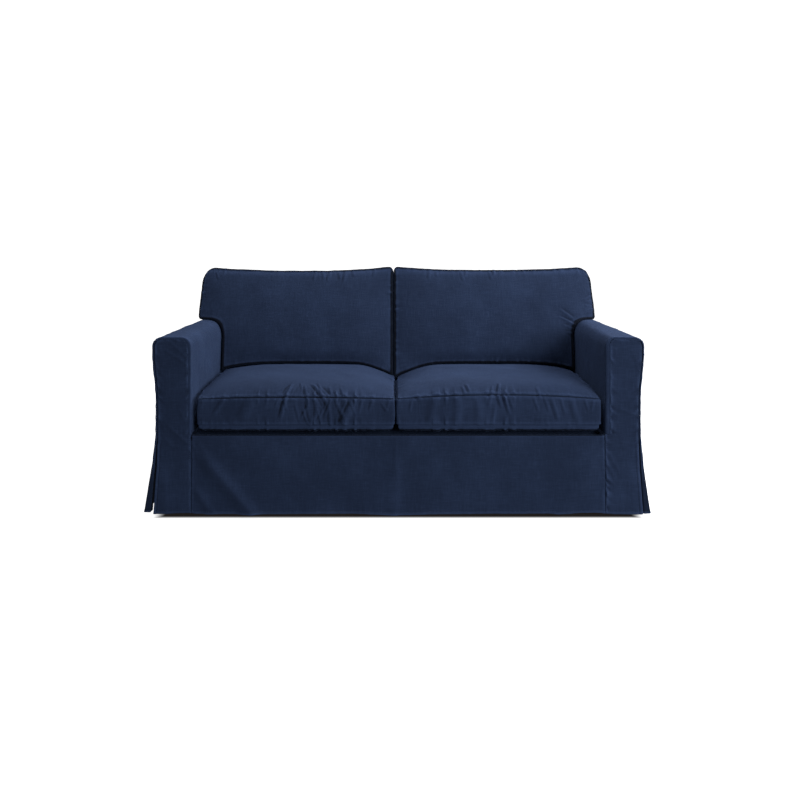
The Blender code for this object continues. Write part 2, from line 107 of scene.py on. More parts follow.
def hills(a, b, seed):
    """Soft hills from -1 to 1 with one lattice cell for each unit of a and b."""
    cells = 64
    lattice = np.random.default_rng(seed).uniform(-1.0, 1.0, (cells, cells))
    i, j = np.floor(a).astype(int), np.floor(b).astype(int)
    s, t = smooth(0.0, 1.0, a - i), smooth(0.0, 1.0, b - j)
    low = lattice[i % cells, j % cells] * (1 - s) + lattice[(i + 1) % cells, j % cells] * s
    high = lattice[i % cells, (j + 1) % cells] * (1 - s)
    high = high + lattice[(i + 1) % cells, (j + 1) % cells] * s
    return low * (1 - t) + high * t


print("hills span", np.round(hills(np.linspace(0, 30, 900), np.linspace(0, 9, 900), 3).std(), 2))

# %% [markdown]
# ## The camera
# The sofa is seen straight on from a standing eye's height. The camera looks level, so that
# upright edges stay upright, and its shift brings the sofa to the middle of the frame.

# %% Camera
def put_in_scene(name, data):
    thing = bpy.data.objects.new(name, data)
    bpy.context.collection.objects.link(thing)
    return thing


camera_data = bpy.data.cameras.new("front_view")
camera_data.lens = 34.65
camera_data.shift_x, camera_data.shift_y = 0.005, -0.198
camera = put_in_scene("front_view", camera_data)
camera.location = (-0.008, -3.32, 1.005)
camera.rotation_euler = (math.radians(90), 0, 0)
bpy.context.scene.camera = camera
print("camera lens", camera_data.lens)

# %% [markdown]
# ## Materials as expressions
# A cloth material is mostly arithmetic on the cloth's own coordinates. A small class wraps a
# socket, so that the arithmetic can be written as Python, and one method makes any other node.

# %% A wire that does sums
class Wire:
    """A socket in a material's tree. Sums and products of wires add Math nodes."""

    def __init__(self, tree, socket=None):
        self.tree, self.socket = tree, socket

    def make(self, kind, settings=None, sockets=None, result=0):
        node = self.tree.nodes.new(kind)
        for key, value in (settings or {}).items():
            setattr(node, key, value)
        for key, value in (sockets or {}).items():
            if isinstance(value, Wire):
                self.tree.links.new(value.socket, node.inputs[key])
            else:
                node.inputs[key].default_value = value
        return Wire(self.tree, node.outputs[result])

    def math(self, operation, first, second=0.0):
        return self.make("ShaderNodeMath", {"operation": operation}, {0: first, 1: second})

    def __add__(self, other):
        return self.math("ADD", self, other)

    def __sub__(self, other):
        return self.math("SUBTRACT", self, other)

    def __rsub__(self, other):
        return self.math("SUBTRACT", other, self)

    def __mul__(self, other):
        return self.math("MULTIPLY", self, other)

    __radd__, __rmul__ = __add__, __mul__

    def sine(self):
        return self.math("SINE", self)

    def between(self, low, high):
        """0 at low and 1 at high, eased and clamped."""
        settings = {"interpolation_type": "SMOOTHSTEP"}
        return self.make("ShaderNodeMapRange", settings, {0: self, 1: low, 2: high})

    def colours(self, low, high):
        """From the colour low, where this wire is 0, to high, where it is 1."""
        sockets = {0: self, 6: (*low, 1.0), 7: (*high, 1.0)}
        return self.make("ShaderNodeMix", {"data_type": "RGBA"}, sockets, 2)

    def parts(self):
        """The x and the y of a place."""
        x = self.make("ShaderNodeSeparateXYZ", sockets={0: self})
        return x, Wire(self.tree, x.socket.node.outputs[1])

    def into(self, shader, key):
        self.tree.links.new(self.socket, shader.inputs[key])


def new_material(name, even):
    """A material and its shader, with the values that are the same all over it."""
    material = bpy.data.materials.new(name)
    material.use_nodes = True
    shader = material.node_tree.nodes["Principled BSDF"]
    for key, value in even.items():
        shader.inputs[key].default_value = value
    return material, shader


# %% [markdown]
# ## The cloth
# The cover is a plain weave of cotton and linen: warp and weft cross one over one, some
# threads are thicker for a few centimetres (slubs), and washing has left soft lighter and
# darker clouds and paler ridges beside the seams. On top of that, painted shade darkens the
# creases, seams, hollows and undersides, and painted light brightens some faces and edges.
# The threads are drawn on each panel's flat coordinates, which are metres on the cut cloth,
# so the weave keeps one size everywhere.

# %% Cloth material
THREAD = 0.0011  # from one thread to the next
NAVY = (0.0130, 0.0225, 0.0520)  # the dye at its deepest
# painted shade: creases are darkened to this part of the dye's colour
CREASE_LIGHT = 0.14  # the part of it that a crease still shows


def cloth_material(name, deep, pale):
    """Washed plain weave between a deep and a pale shade of one dye."""
    even = {"Specular IOR Level": 0.12, "Sheen Weight": 0.09, "Sheen Roughness": 0.55}
    even["Sheen Tint"] = (0.30, 0.48, 1.0, 1.0)
    material, shader = new_material(name, even)
    flat = Wire(material.node_tree).make("ShaderNodeUVMap", {"uv_map": "flat"})
    across, along = flat.parts()

    def clouds(per_metre_across, per_metre_along, detail):
        """Noise on the cut cloth, stretched to its own scale each way."""
        scaled = {0: across * per_metre_across, 1: along * per_metre_along}
        place = flat.make("ShaderNodeCombineXYZ", sockets=scaled)
        sockets = {"Vector": place, "Scale": 1.0, "Detail": detail}
        return flat.make("ShaderNodeTexNoise", {"noise_dimensions": "2D"}, sockets)

    warp = (across * (math.pi / THREAD)).sine()
    weft = (along * (math.pi / THREAD)).sine()
    over = warp * weft * 0.5 + 0.5
    slub_along = clouds(420, 24, 1.5).between(0.40, 0.72)
    slub_across = clouds(24, 420, 1.5).between(0.40, 0.72)
    slub = slub_along * 0.5 + slub_across * 0.5
    streak = clouds(120, 9, 2.0) * 0.5 + clouds(9, 120, 2.0) * 0.5
    washed = clouds(7, 6, 3.0)
    # this value is above 0 on a ridge that wears pale and where painted light brightens a face or
    # an edge, and below 0 in painted shade, which darkens creases, seams, hollows and undersides
    worn = flat.make("ShaderNodeAttribute", {"attribute_name": "worn"}, result=2)
    paler = worn.math("MAXIMUM", worn)
    shade = over * 0.16 + slub * 0.26 + streak * 0.36 + washed * 0.62 + paler * 0.42 - 0.36
    dye = shade.between(0.0, 1.0).colours(deep, pale)
    # painted shade: where the value read above is below 0, the dye is mixed towards a near-black
    # copy of itself
    dark = tuple(part * CREASE_LIGHT for part in deep)
    painted_crease_shade = (0.0 - worn).between(0.0, 1.0)
    sockets = {0: painted_crease_shade, 6: dye, 7: (*dark, 1.0)}
    dyed = flat.make("ShaderNodeMix", {"data_type": "RGBA"}, sockets, 2)
    dyed.into(shader, "Base Color")
    (0.97 - slub * 0.10).into(shader, "Roughness")
    threads = warp * warp * over + weft * weft * (1 - over)
    relief = threads * 0.35 + slub * 0.65 + streak * 0.5
    sockets = {"Strength": 0.55, "Distance": 0.0007, "Height": relief}
    flat.make("ShaderNodeBump", sockets=sockets).into(shader, "Normal")
    return material


cover_cloth = cloth_material("washed_navy_cover", NAVY, (0.0270, 0.0455, 0.1020))
cushion_cloth = cloth_material("washed_navy_cushions", NAVY, (0.0275, 0.0460, 0.1030))
print("cloth materials:", cover_cloth.name, cushion_cloth.name)

# %% [markdown]
# ## The room
# The cover stands on a white floor in a white studio. The floor and the dome are only a
# stage: they are seen, but are kept from lighting the cloth. Its light comes from three soft
# lamps, the strongest at the right front, and faintly from the air all round.

# %% Floor, dome and lamps
FLOOR = -0.012
WHITE = (1.0, 1.0, 1.0)


def stage_piece(name, shape, shade=None):
    """A white thing that shines on nothing. shade gives it a painted shadow."""
    mesh = bpy.data.meshes.new(name)
    shape.to_mesh(mesh)
    shape.free()
    even = {"Base Color": (0.9, 0.9, 0.9, 1.0), "Roughness": 1.0, "Specular IOR Level": 0.0}
    even.update({"Emission Color": (*WHITE, 1.0), "Emission Strength": 1.0})
    material, shader = new_material(name, even)
    if shade:
        light = shade(Wire(material.node_tree))
        light.colours((0.012, 0.010, 0.009), WHITE).into(shader, "Emission Color")
        light.colours((0.02, 0.02, 0.02), (0.9, 0.9, 0.9)).into(shader, "Base Color")
    mesh.materials.append(material)
    piece = put_in_scene(name, mesh)
    piece.visible_diffuse = piece.visible_glossy = False
    return piece


def under_the_sofa(wire):
    """0 under the cover, where no light comes, and 1 beyond its hem."""
    x, y = wire.make("ShaderNodeTexCoord", result=3).parts()
    sideways = wire.math("ABSOLUTE", x).between(0.865, 0.915)
    front = (0.0 - y).between(0.468, 0.500)
    rear = y.between(0.470, 0.500)
    return wire.math("MAXIMUM", sideways, wire.math("MAXIMUM", front, rear))


ground = bmesh.new()
bmesh.ops.create_grid(ground, x_segments=1, y_segments=1, size=9.0)
bmesh.ops.translate(ground, verts=ground.verts, vec=(0, 0, FLOOR))
stage_piece("studio_floor", ground, under_the_sofa)
sky = bmesh.new()
bmesh.ops.create_icosphere(sky, subdivisions=4, radius=9.0)
bmesh.ops.reverse_faces(sky, faces=sky.faces)
stage_piece("studio_dome", sky).visible_shadow = False


def lamp(name, size, power, place, aim):
    data = bpy.data.lights.new(name, "AREA")
    data.shape, data.size, data.size_y, data.energy = "RECTANGLE", size[0], size[1], power
    light = put_in_scene(name, data)
    light.location = place
    light.rotation_euler = (Vector(aim) - Vector(place)).to_track_quat("-Z", "Y").to_euler()


lamp("key", (2.0, 1.6), 105, (2.2, -3.6, 1.6), (0.0, 0.0, 0.4))
lamp("side", (1.5, 1.5), 70, (3.0, 0.1, 1.9), (0.0, 0.0, 0.5))
lamp("overhead", (3.2, 2.0), 46, (0.1, 0.1, 2.9), (0.0, 0.0, 0.5))
world = bpy.data.worlds.new("studio_air")
bpy.context.scene.world = world
world.use_nodes = True
air = world.node_tree.nodes["Background"].inputs
air["Color"].default_value, air["Strength"].default_value = (0.95, 0.97, 1.0, 1.0), 0.17
bpy.context.scene.view_settings.view_transform = "Standard"
print("lamps and floor at", FLOOR)

# %% [markdown]
# ## How a panel of cloth is made
# A panel is cut flat and then takes a shape. Here it is a grid: the columns and rows are
# places on the flat cloth, in metres, and each grid point is put where the cover holds it.
# Near a seam the rows stand closer together, because the cloth dips into the stitches there
# and rises beside them in a soft ridge. Solidify then gives the cloth its thickness.

# %% Stations, and lines with rounded corners
NEAR_SEAM = (0.0, 0.0011, 0.0024, 0.0040, 0.0062, 0.0092)


def stations(length, step, seams=(True, True)):
    """Places along a length, closer together beside a seam at its start or end."""
    start = list(NEAR_SEAM) if seams[0] else [0.0]
    end = [length - near for near in (NEAR_SEAM if seams[1] else (0.0,))]
    parts = max(1, round((end[-1] - start[-1]) / step))
    middle = np.linspace(start[-1], end[-1], parts + 1)[1:-1]
    return np.array([*start, *middle, *reversed(end)])


def turned(direction, angle):
    cos, sin = math.cos(angle), math.sin(angle)
    return Vector((direction.x * cos - direction.y * sin, direction.x * sin + direction.y * cos))


def rounded_line(corners, radii, arc_steps=14):
    """A bent line as (lengths, points, normals), with its outer side on the left."""
    corners = [Vector(corner) for corner in corners]
    points, normals, start = [], [], corners[0]
    for number, end in enumerate(corners[1:]):
        way = (end - corners[number]).normalized()
        normal = Vector((-way.y, way.x))
        turn, radius = 0.0, 0.0
        if number < len(radii):
            radius = radii[number]
            turn = way.angle_signed((corners[number + 2] - end).normalized())
            end = end - way * radius * math.tan(abs(turn) / 2)
        points += [start, end]
        normals += [normal, normal]
        centre = end - normal * radius
        for step in range(1, arc_steps if turn else 0):
            outward = turned(normal, -turn * step / arc_steps)
            points.append(centre + outward * radius)
            normals.append(outward)
        start = centre + turned(normal, -turn) * radius
    points, normals = np.array(points), np.array(normals)
    steps = np.linalg.norm(np.diff(points, axis=0), axis=1)
    return np.concatenate([[0.0], np.cumsum(steps)]), points, normals


def follow(line, places):
    """The two coordinates and the outward direction at places along a rounded line."""
    lengths, points, normals = line
    return [np.interp(places, lengths, column) for column in (*points.T, *normals.T)]


def seam_place(line, top, radius):
    """Where a seam lies on a line that ends on the floor: halfway round its last turn."""
    return float(line[0][-1]) - (top - radius) - radius * math.pi / 4


ARM_OUT = HALF_WIDTH + ARM_BULGE + ARM_SWELL
arm_corners = ((ARM_INSIDE, DECK_TOP), (ARM_INSIDE, ARM_TOP), (ARM_OUT, ARM_TOP), (ARM_OUT, 0.0))
ARM_LINES = [rounded_line(arm_corners, (inner, ARM_ROUND)) for inner in INNER_ROUND]
# the seam between the inside and the outside arm
ARM_SEAM_PLACES = [seam_place(line, ARM_TOP, ARM_ROUND) for line in ARM_LINES]
ARM_SEAM_HEIGHT = ARM_TOP - ARM_ROUND * (1 - math.sin(math.pi / 4))
print("round the arm, front and back:", np.round([line[0][-1] for line in ARM_LINES], 3), "m")

# %% Seams
GROOVE, RIDGE, GATHERS = 0.0024, 0.0015, 0.0013  # depth of a seam, heights of what is beside it


def beside_seam(distance, place, seed, groove=GROOVE):
    """How the cloth stands up beside a seam: down at the stitches, then a puckered ridge."""
    pucker = 0.60 + 0.75 * hills(place / 0.010, distance / 0.030, seed)
    ridge = RIDGE * pucker * bell(distance - 0.0042, 0.0042)
    slanted = hills((place + 0.6 * distance) / 0.0145, distance / 0.060, seed + 1)
    gathered = GATHERS * slanted * np.exp(-distance / 0.018) * smooth(0.0, 0.005, distance)
    return ridge - groove * bell(distance, 0.0018) + gathered


def seam_wear_and_shade(distance, dark=0.9, place=None, seed=0):
    """Pale on the ridge beside a seam, where wear pales it, and painted shade in the fold of the
    seam itself.
    """
    uneven = 1.0
    if place is not None:
        uneven = np.clip(0.9 + 0.9 * hills(place / 0.020, distance / 0.050, seed), 0.1, 2.0)
    return uneven * bell(distance - 0.0052, 0.0042) - dark * uneven * bell(distance, 0.0020)


print("a seam dips", GROOVE, "m and its ridge stands up", RIDGE, "m")

# %% A grid as a piece of cloth
def square_to(points):
    """A direction square to a grid at each of its points, of any length."""
    return np.cross(np.gradient(points, axis=1), np.gradient(points, axis=0))


def all_normals(points, outward):
    """The direction that faces out of a grid at each of its points."""
    normals = square_to(points)
    normals /= np.linalg.norm(normals, axis=-1, keepdims=True) + 1e-12
    return normals if (normals @ np.array(outward, float)).sum() > 0 else -normals


def cloth_object(name, places, squares, flat, values, material):
    """A smooth mesh with flat coordinates for each corner and named values for each point."""
    mesh = bpy.data.meshes.new(name)
    mesh.from_pydata(places.tolist(), [], squares.tolist())
    mesh.uv_layers.new(name="flat").data.foreach_set("uv", flat.ravel())
    for key, value in values.items():
        store_value(mesh, key, value)
    mesh.shade_smooth()
    mesh.materials.append(material)
    return put_in_scene(name, mesh)


def store_value(mesh, key, value):
    attribute = mesh.attributes.new(key, "FLOAT", "POINT")
    attribute.data.foreach_set("value", np.asarray(value, np.float32))


def grid_object(name, points, flat, outward, worn, keep):
    """The kept squares of a grid as a mesh whose faces point outward."""
    rows, columns = points.shape[:2]
    index = np.arange(rows * columns).reshape(rows, columns)
    squares = np.stack([index[:-1, :-1], index[:-1, 1:], index[1:, 1:], index[1:, :-1]], -1)[keep]
    if (square_to(points) @ np.array(outward, float)).sum() < 0:
        squares = squares[:, ::-1]
    used, squares = np.unique(squares, return_inverse=True)
    squares = squares.reshape(-1, 4)
    places, flat = points.reshape(-1, 3)[used], flat.reshape(-1, 2)[used][squares.ravel()]
    return cloth_object(name, places, squares, flat, {"worn": worn.ravel()[used]}, cover_cloth)


def place_cloth(base, height, outward):
    """A grid moved along its own normals by a height at each point."""
    return base + all_normals(base, outward) * height[..., None]


def turn_in(base, relief, flat, worn, outward, sides, folded=0):
    """Places the cloth and adds the seam allowance: a strip turned in behind each sewn side.

    The sides are named l, r, b and t. Gives the larger grids and the squares to keep, without
    the empty corners. The first columns, which are folded already, turn in as the next one does.
    """
    points = place_cloth(base, relief, outward)
    inward = -all_normals(base, outward)
    inward[:, :folded] = inward[:, folded : folded + 1]
    pads = [[int("b" in sides), int("t" in sides)], [int("l" in sides), int("r" in sides)]]
    turned = np.pad(np.zeros(worn.shape), pads, constant_values=1.0)
    inward = np.pad(inward, (*pads, (0, 0)), mode="edge")
    points = np.pad(points, (*pads, (0, 0)), mode="edge") + inward * (turned * ALLOWANCE)[..., None]
    flat = np.pad(flat, (*pads, (0, 0)), mode="edge")
    for axis, (low, high) in ((1, pads[1]), (0, pads[0])):
        step = np.zeros(flat.shape[axis])
        step[:low], step[len(step) - high:] = -ALLOWANCE, ALLOWANCE
        flat[..., 1 - axis] += step[None, :] if axis == 1 else step[:, None]
    keep = np.ones((points.shape[0] - 1, points.shape[1] - 1), bool)
    for row, end in ((0, pads[0][0]), (-1, pads[0][1])):
        for column, side in ((0, pads[1][0]), (-1, pads[1][1])):
            if end and side:
                keep[row, column] = False
    return points, flat, np.pad(worn, pads, mode="edge"), keep


# %% [markdown]
# ## Stitches
# The hems are held by a line of stitches 10 mm above the edge, and the seams that show most are
# stitched once more beside the join, so that they lie flat. One Geometry Nodes tree sews any
# line: it takes the line as a mesh of edges, sets stitches along it at one spacing, turns each
# the way of the line, and varies their length a little from a fixed seed.

# %% Thread
def thread_material():
    """Twisted cotton thread, a shade paler than the cloth, with patches where its dye has come off.
    """
    even = {"Roughness": 0.8, "Specular IOR Level": 0.15}
    material, shader = new_material("sewing_thread", even)
    place = Wire(material.node_tree).make("ShaderNodeTexCoord", result=3)
    sockets = {"Vector": place, "Scale": 160.0, "Detail": 2.0}
    paler = place.make("ShaderNodeTexNoise", sockets=sockets).between(0.35, 0.65)
    paler.colours((0.022, 0.036, 0.078), (0.062, 0.092, 0.170)).into(shader, "Base Color")
    sockets = {"Vector": place, "Scale": 420.0, "Distortion": 1.5}
    twist = place.make("ShaderNodeTexWave", sockets=sockets)
    sockets = {"Strength": 0.4, "Distance": 0.0002, "Height": twist}
    place.make("ShaderNodeBump", sockets=sockets).into(shader, "Normal")
    return material


# %% A tree that sews along a line
def stitch_tree():
    """Sets stitches along a line of edges. Its inputs are the sizes, the seed and the thread."""
    tree = bpy.data.node_groups.new("stitches_along_a_line", "GeometryNodeTree")
    kinds = {"Geometry": "Geometry", "Spacing": "Float", "Length": "Float", "Thickness": "Float"}
    kinds.update({"Seed": "Int", "Material": "Material"})
    for name, kind in kinds.items():
        tree.interface.new_socket(name, in_out="INPUT", socket_type="NodeSocket" + kind)
    tree.interface.new_socket("Geometry", in_out="OUTPUT", socket_type="NodeSocketGeometry")
    given = Wire(tree).make("NodeGroupInput").socket.node.outputs
    line, spacing, length, thickness, seed, material = (Wire(tree, out) for out in given[:6])
    curve = line.make("GeometryNodeMeshToCurve", sockets={"Mesh": line})
    sockets = {"Curve": curve, "Length": spacing}
    spaced_out = line.make("GeometryNodeResampleCurve", {"mode": "LENGTH"}, sockets)
    sockets = {"Segments": 6, "Rings": 3, "Radius": 0.5}
    ball = line.make("GeometryNodeMeshUVSphere", sockets=sockets)
    tangent = line.make("GeometryNodeInputTangent")
    turned_to = line.make("FunctionNodeAlignRotationToVector", {"axis": "X"}, {"Vector": tangent})
    sockets = {2: 0.82, 3: 1.12, "Seed": seed}
    varied = line.make("FunctionNodeRandomValue", {"data_type": "FLOAT"}, sockets, 1)
    sockets = {0: length * varied, 1: thickness, 2: thickness}
    size = line.make("ShaderNodeCombineXYZ", sockets=sockets)
    sewn = {"Points": spaced_out, "Instance": ball, "Rotation": turned_to, "Scale": size}
    stitches = line.make("GeometryNodeInstanceOnPoints", sockets=sewn)
    real = line.make("GeometryNodeRealizeInstances", sockets={0: stitches})
    soft = line.make("GeometryNodeSetShadeSmooth", sockets={0: real})
    sockets = {"Geometry": soft, "Material": material}
    dyed = line.make("GeometryNodeSetMaterial", sockets=sockets)
    tree.links.new(dyed.socket, tree.nodes.new("NodeGroupOutput").inputs[0])
    return tree


THREAD_DYE, STITCHES = thread_material(), stitch_tree()
print("the tree that sews has", len(STITCHES.nodes), "nodes")

# %% Sewing
def settled(piece):
    """The piece with its modifiers made into its mesh."""
    graph = bpy.context.evaluated_depsgraph_get()
    done = bpy.data.meshes.new_from_object(piece.evaluated_get(graph), depsgraph=graph)
    piece.modifiers.clear()
    piece.data = done
    return piece


STITCH = {"Spacing": 0.0074, "Length": 0.0048, "Thickness": 0.0011, "Material": THREAD_DYE}


def sew(name, lines, seed):
    """Stitches along lines of points, as one mesh."""
    points, edges = [], []
    for line in lines:
        first = len(points)
        points += line.tolist()
        edges += [(number, number + 1) for number in range(first, len(points) - 1)]
    mesh = bpy.data.meshes.new(name + "_line")
    mesh.from_pydata(points, edges, [])
    piece = put_in_scene(name, mesh)
    sewing = piece.modifiers.new("sewing", "NODES")
    sewing.node_group = STITCHES
    for item in STITCHES.interface.items_tree:
        if item.in_out == "INPUT" and item.name != "Geometry":
            sewing[item.identifier] = {**STITCH, "Seed": seed}[item.name]
    settled(piece)
    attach(piece, "root")
    print(name, "faces", len(piece.data.polygons))
    return piece


def make_panel(
    name, node, grids, outward, sides, cut, sewn=None, seed=0, folded=0, keep=None
):
    """Makes a panel and its stitches, hides the solid part it stands for, and attaches it to the
    root it rides on.

    The grids are its shape, relief, flat coordinates, and its wear and painted light. cut is the
    size of the flat cloth, sewn the rows and columns that are stitched, and keep the squares that
    are there.
    """
    points, flat, worn, whole = turn_in(*grids, outward, sides, folded)
    if keep is not None:
        whole[: len(keep)] &= keep
    piece = grid_object(name, points, flat, outward, worn, whole)
    stitches = []
    if sewn:
        rows, columns, start = sewn
        placed = place_cloth(*grids[:2], outward)
        lines = [placed[row, start:-4] for row in rows]
        lines += [placed[6:-5, column] for column in columns]
        stitches = [sew(name.removesuffix("_cloth") + "_stitches", lines, seed)]
    solid = piece.modifiers.new("cloth", "SOLIDIFY")
    solid.thickness, solid.offset, solid.use_even_offset = CLOTH, -1.0, False
    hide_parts(node)
    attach(piece, "root")
    print(name, "cut", np.round(cut, 3), "faces", len(piece.data.polygons))


# %% [markdown]
# ## How the front falls
# The apron and the two arm fronts hang as one front. Long folds run from the corners of the
# seat down to the hem, one fold stands in the middle where the cushions part, and the whole
# front swings a little forward to the hem. A fold is a soft ridge along a line, steeper on
# one side than the other, and it fades past its ends.

# %% Folds and hems
def in_metres(rows):
    """A table that is written in tenths of a millimetre."""
    return np.array(rows) / 10000


# x and z of both ends, half width on the left and on the right of the way, height
FRONT_FOLDS = in_metres((
    (-7350, 2400, -5600, 300, 200, 300, 125), (-7480, 1000, -6900, 200, 120, 200, 75),
    (-8620, 1700, -8520, 200, 180, 260, 40), (-40, 2300, -120, 0, 140, 300, 55),
    (7400, 2150, 6000, 200, 340, 260, 105), (8500, 2000, 8700, 100, 240, 180, 32),
))
BACK_FOLDS = in_metres((
    (-4200, 3000, -4700, 0, 450, 350, 60), (3800, 2800, 4400, 0, 400, 550, 60),
    (-8200, 2000, -7900, 0, 300, 260, 50), (8150, 2100, 7900, 0, 260, 300, 50),
))
# Short creases of the front, in the same columns
FRONT_CREASES = in_metres((
    (-8600, 6100, -8000, 5680, 40, 70, 24), (-8380, 6360, -7850, 5880, 40, 60, 20),
    (-8150, 5900, -7780, 5560, 40, 60, 18), (-8800, 6280, -8720, 6000, 40, 60, 16),
    (-8480, 3300, -7820, 2720, 60, 90, 26), (-8700, 2950, -8380, 2620, 60, 80, 18),
    (-8000, 3850, -7800, 3400, 50, 70, 16), (8720, 5600, 8900, 5200, 50, 70, 18),
    (8620, 6000, 8800, 5600, 50, 70, 16), (8000, 3950, 8660, 3720, 50, 70, 20),
    (8150, 3420, 8800, 3700, 50, 70, 16), (8260, 2620, 8720, 2620, 40, 60, 14),
    (-7410, 2700, -7120, 2380, 40, 60, 16), (-7520, 2620, -7380, 2150, 40, 60, 14),
    (-7570, 2450, -7520, 1900, 40, 50, 12), (7440, 2920, 7750, 2680, 50, 70, 20),
    (7710, 2320, 8030, 1720, 50, 80, 20), (7680, 1950, 7900, 1400, 50, 70, 15),
    (7560, 2850, 7380, 2520, 40, 60, 16), (-60, 2860, -100, 2000, 40, 60, 22),
))


def folds(table, x, z, undercut=0.0):
    """Height of soft ridges along lines, at places on a panel, with a valley on one side."""
    height = np.zeros_like(x)
    for x0, z0, x1, z1, left, right, rise in table:
        way = np.array((x1 - x0, z1 - z0))
        along = ((x - x0) * way[0] + (z - z0) * way[1]) / (way @ way)
        aside = ((x - x0) * way[1] - (z - z0) * way[0]) / math.sqrt(way @ way)
        width = np.where(aside > 0, right, left)
        fade = smooth(-0.15, 0.30, along) * (1 - smooth(1.0, 1.6, along))
        valley = undercut * np.exp(-2 * (aside / width - 1.5) ** 2)
        height += rise * fade * (bell(aside, width) - valley)
    return height


print("folds of the front:", len(FRONT_FOLDS) + len(FRONT_CREASES))

# %% Hems
def hanging(z, hem):
    """A height on a panel whose lower edge is lifted to its hem."""
    return z + hem * (1 - np.clip(z / VENT_TOP, 0, 1))


def skirt_swing(z):
    return HEM_FORWARD * (1 - np.clip(z / DECK_TOP, 0, 1))


def hem_row(heights):
    """The row of a grid on which a hem is stitched."""
    return int(np.argmin(np.abs(heights[:, 0] - HEM_THREAD)))


def hem_wear_and_shade(up):
    """The hem's edge and the ridge of its fold are paled by wear; painted shade lies on its stitch
    line.
    """
    paler = 2.2 * bell(up, 0.0048) + 0.5 * bell(up - 0.0075, 0.0018)
    return paler - 0.9 * bell(up - HEM_DIP, 0.0018)


def hem_relief(up, place, seed):
    """A turned hem: a double strip at the edge, stitched 10 mm up, with small puckers."""
    strip = 0.0009 * (1 - smooth(0.0085, 0.0100, up)) - 0.0010 * bell(up - HEM_DIP, 0.0016)
    pucker = 0.0011 * hills(place / 0.013, up / 0.03, seed) * np.exp(-up / 0.020)
    sway = 0.0022 * hills(place / 0.090, up / 0.20, seed + 1) * np.exp(-up / 0.090)
    return strip + pucker + sway


def unevenness(u, v, seed):
    """The cloth's own slackness over a whole panel."""
    wide = 0.0010 * hills(u / 0.11, v / 0.13, seed)
    close = 0.00035 * hills(u / 0.028 + v / 0.09, v / 0.045, seed + 7)
    return wide + close


print("stitches of a hem lie", HEM_THREAD, "m up")

# %% [markdown]
# ## The apron
# The front of the skirt is one wide panel. Its upper edge comes round the front of the deck
# under the cushions, its ends are sewn to the arm fronts, and its lower edge is hemmed. A
# simulation could let it hang, but its few main folds are known, so they are listed one by one.

# %% Apron
DIP = 0.020
APRON_STEP = 0.0050


def make_apron():
    half = APRON_HALF - GAP
    rear = -HALF_DEPTH + DECK_ROUND + LIP
    corners = ((-HALF_DEPTH, 0.0), (-HALF_DEPTH, DECK_TOP), (rear, DECK_TOP))
    line = rounded_line(corners, (DECK_ROUND,))
    length = float(line[0][-1])
    u, v = np.meshgrid(stations(2 * half, APRON_STEP), stations(length, APRON_STEP, (True, False)))
    x = u - half
    y, z, _, _ = follow(line, v)
    y = y - skirt_swing(z) - folds(FRONT_FOLDS, x, z)

    def behind(start, end, low, high):
        """0 on the apron's face and 1 behind its upper edge."""
        level = smooth(DECK_TOP - low, DECK_TOP - high, z)
        return smooth(-HALF_DEPTH + start, -HALF_DEPTH + end, y) * level

    # behind its top edge the apron dips to the deck, and the cushions stand over the dip
    drop = DIP * behind(0.0025, DECK_ROUND, 0.012, 0.002)
    base = np.stack([x, y, hanging(z, read_off(HEM_FRONT, x)) - drop], -1)
    relief = beside_seam(u, v, 11) + beside_seam(2 * half - u, v, 14) + hem_relief(v, x, 33)
    inside = smooth(0.0, 0.02, np.minimum(half - np.abs(x), DECK_TOP - z))
    relief += folds(FRONT_CREASES, x, z) + unevenness(u, v, 17) * inside
    # painted shade: just behind the top edge, in the dip under the cushions, the cloth is painted
    # nearly black
    painted_shade_behind_edge = behind(0.0004, 0.0030, 0.009, 0.004)
    uneven = seam_wear_and_shade(np.minimum(u, 2 * half - u), 0.9, np.where(x > 0, v, 0.0), 12)
    worn = uneven * (1 - painted_shade_behind_edge) + hem_wear_and_shade(v) - 3.0 * painted_shade_behind_edge
    grids = (base, relief, np.stack([u, v], -1), worn)
    cut = (2 * half, length)
    make_panel("apron", "front_apron", grids, (0, -1, 0.1), "lr", cut, ([hem_row(v)], (), 4), 5)


make_apron()

# %% [markdown]
# ## The arm fronts
# Each arm front is a long narrow panel, square at the hem and rounded at its two top corners,
# where the inside and the outside arm come round to meet it. Its seam runs up both sides and
# over the top, so the seam's relief follows the distance to that rounded outline.

# %% Arm fronts
PUCKERS = {-1: 0.32, 1: 1.0}  # how strong they are on each arm
FRONT_PAINTED_LIGHT = {-1: 0.10, 1: 0.22}  # painted light on the whole of it, more on the right


def arm_side(z):
    """x of an arm's outer face at a height."""
    return HALF_WIDTH + ARM_BULGE * smooth(0.42, 0.60, z) + ARM_SWELL * smooth(0.16, 0.30, z)


def to_outline(aside, down, radius):
    """Distance to an outline with one rounded corner, from the distances to its two sides."""
    round_corner = radius - np.hypot(radius - aside, radius - down)
    return np.where((aside < radius) & (down < radius), round_corner, np.minimum(aside, down))


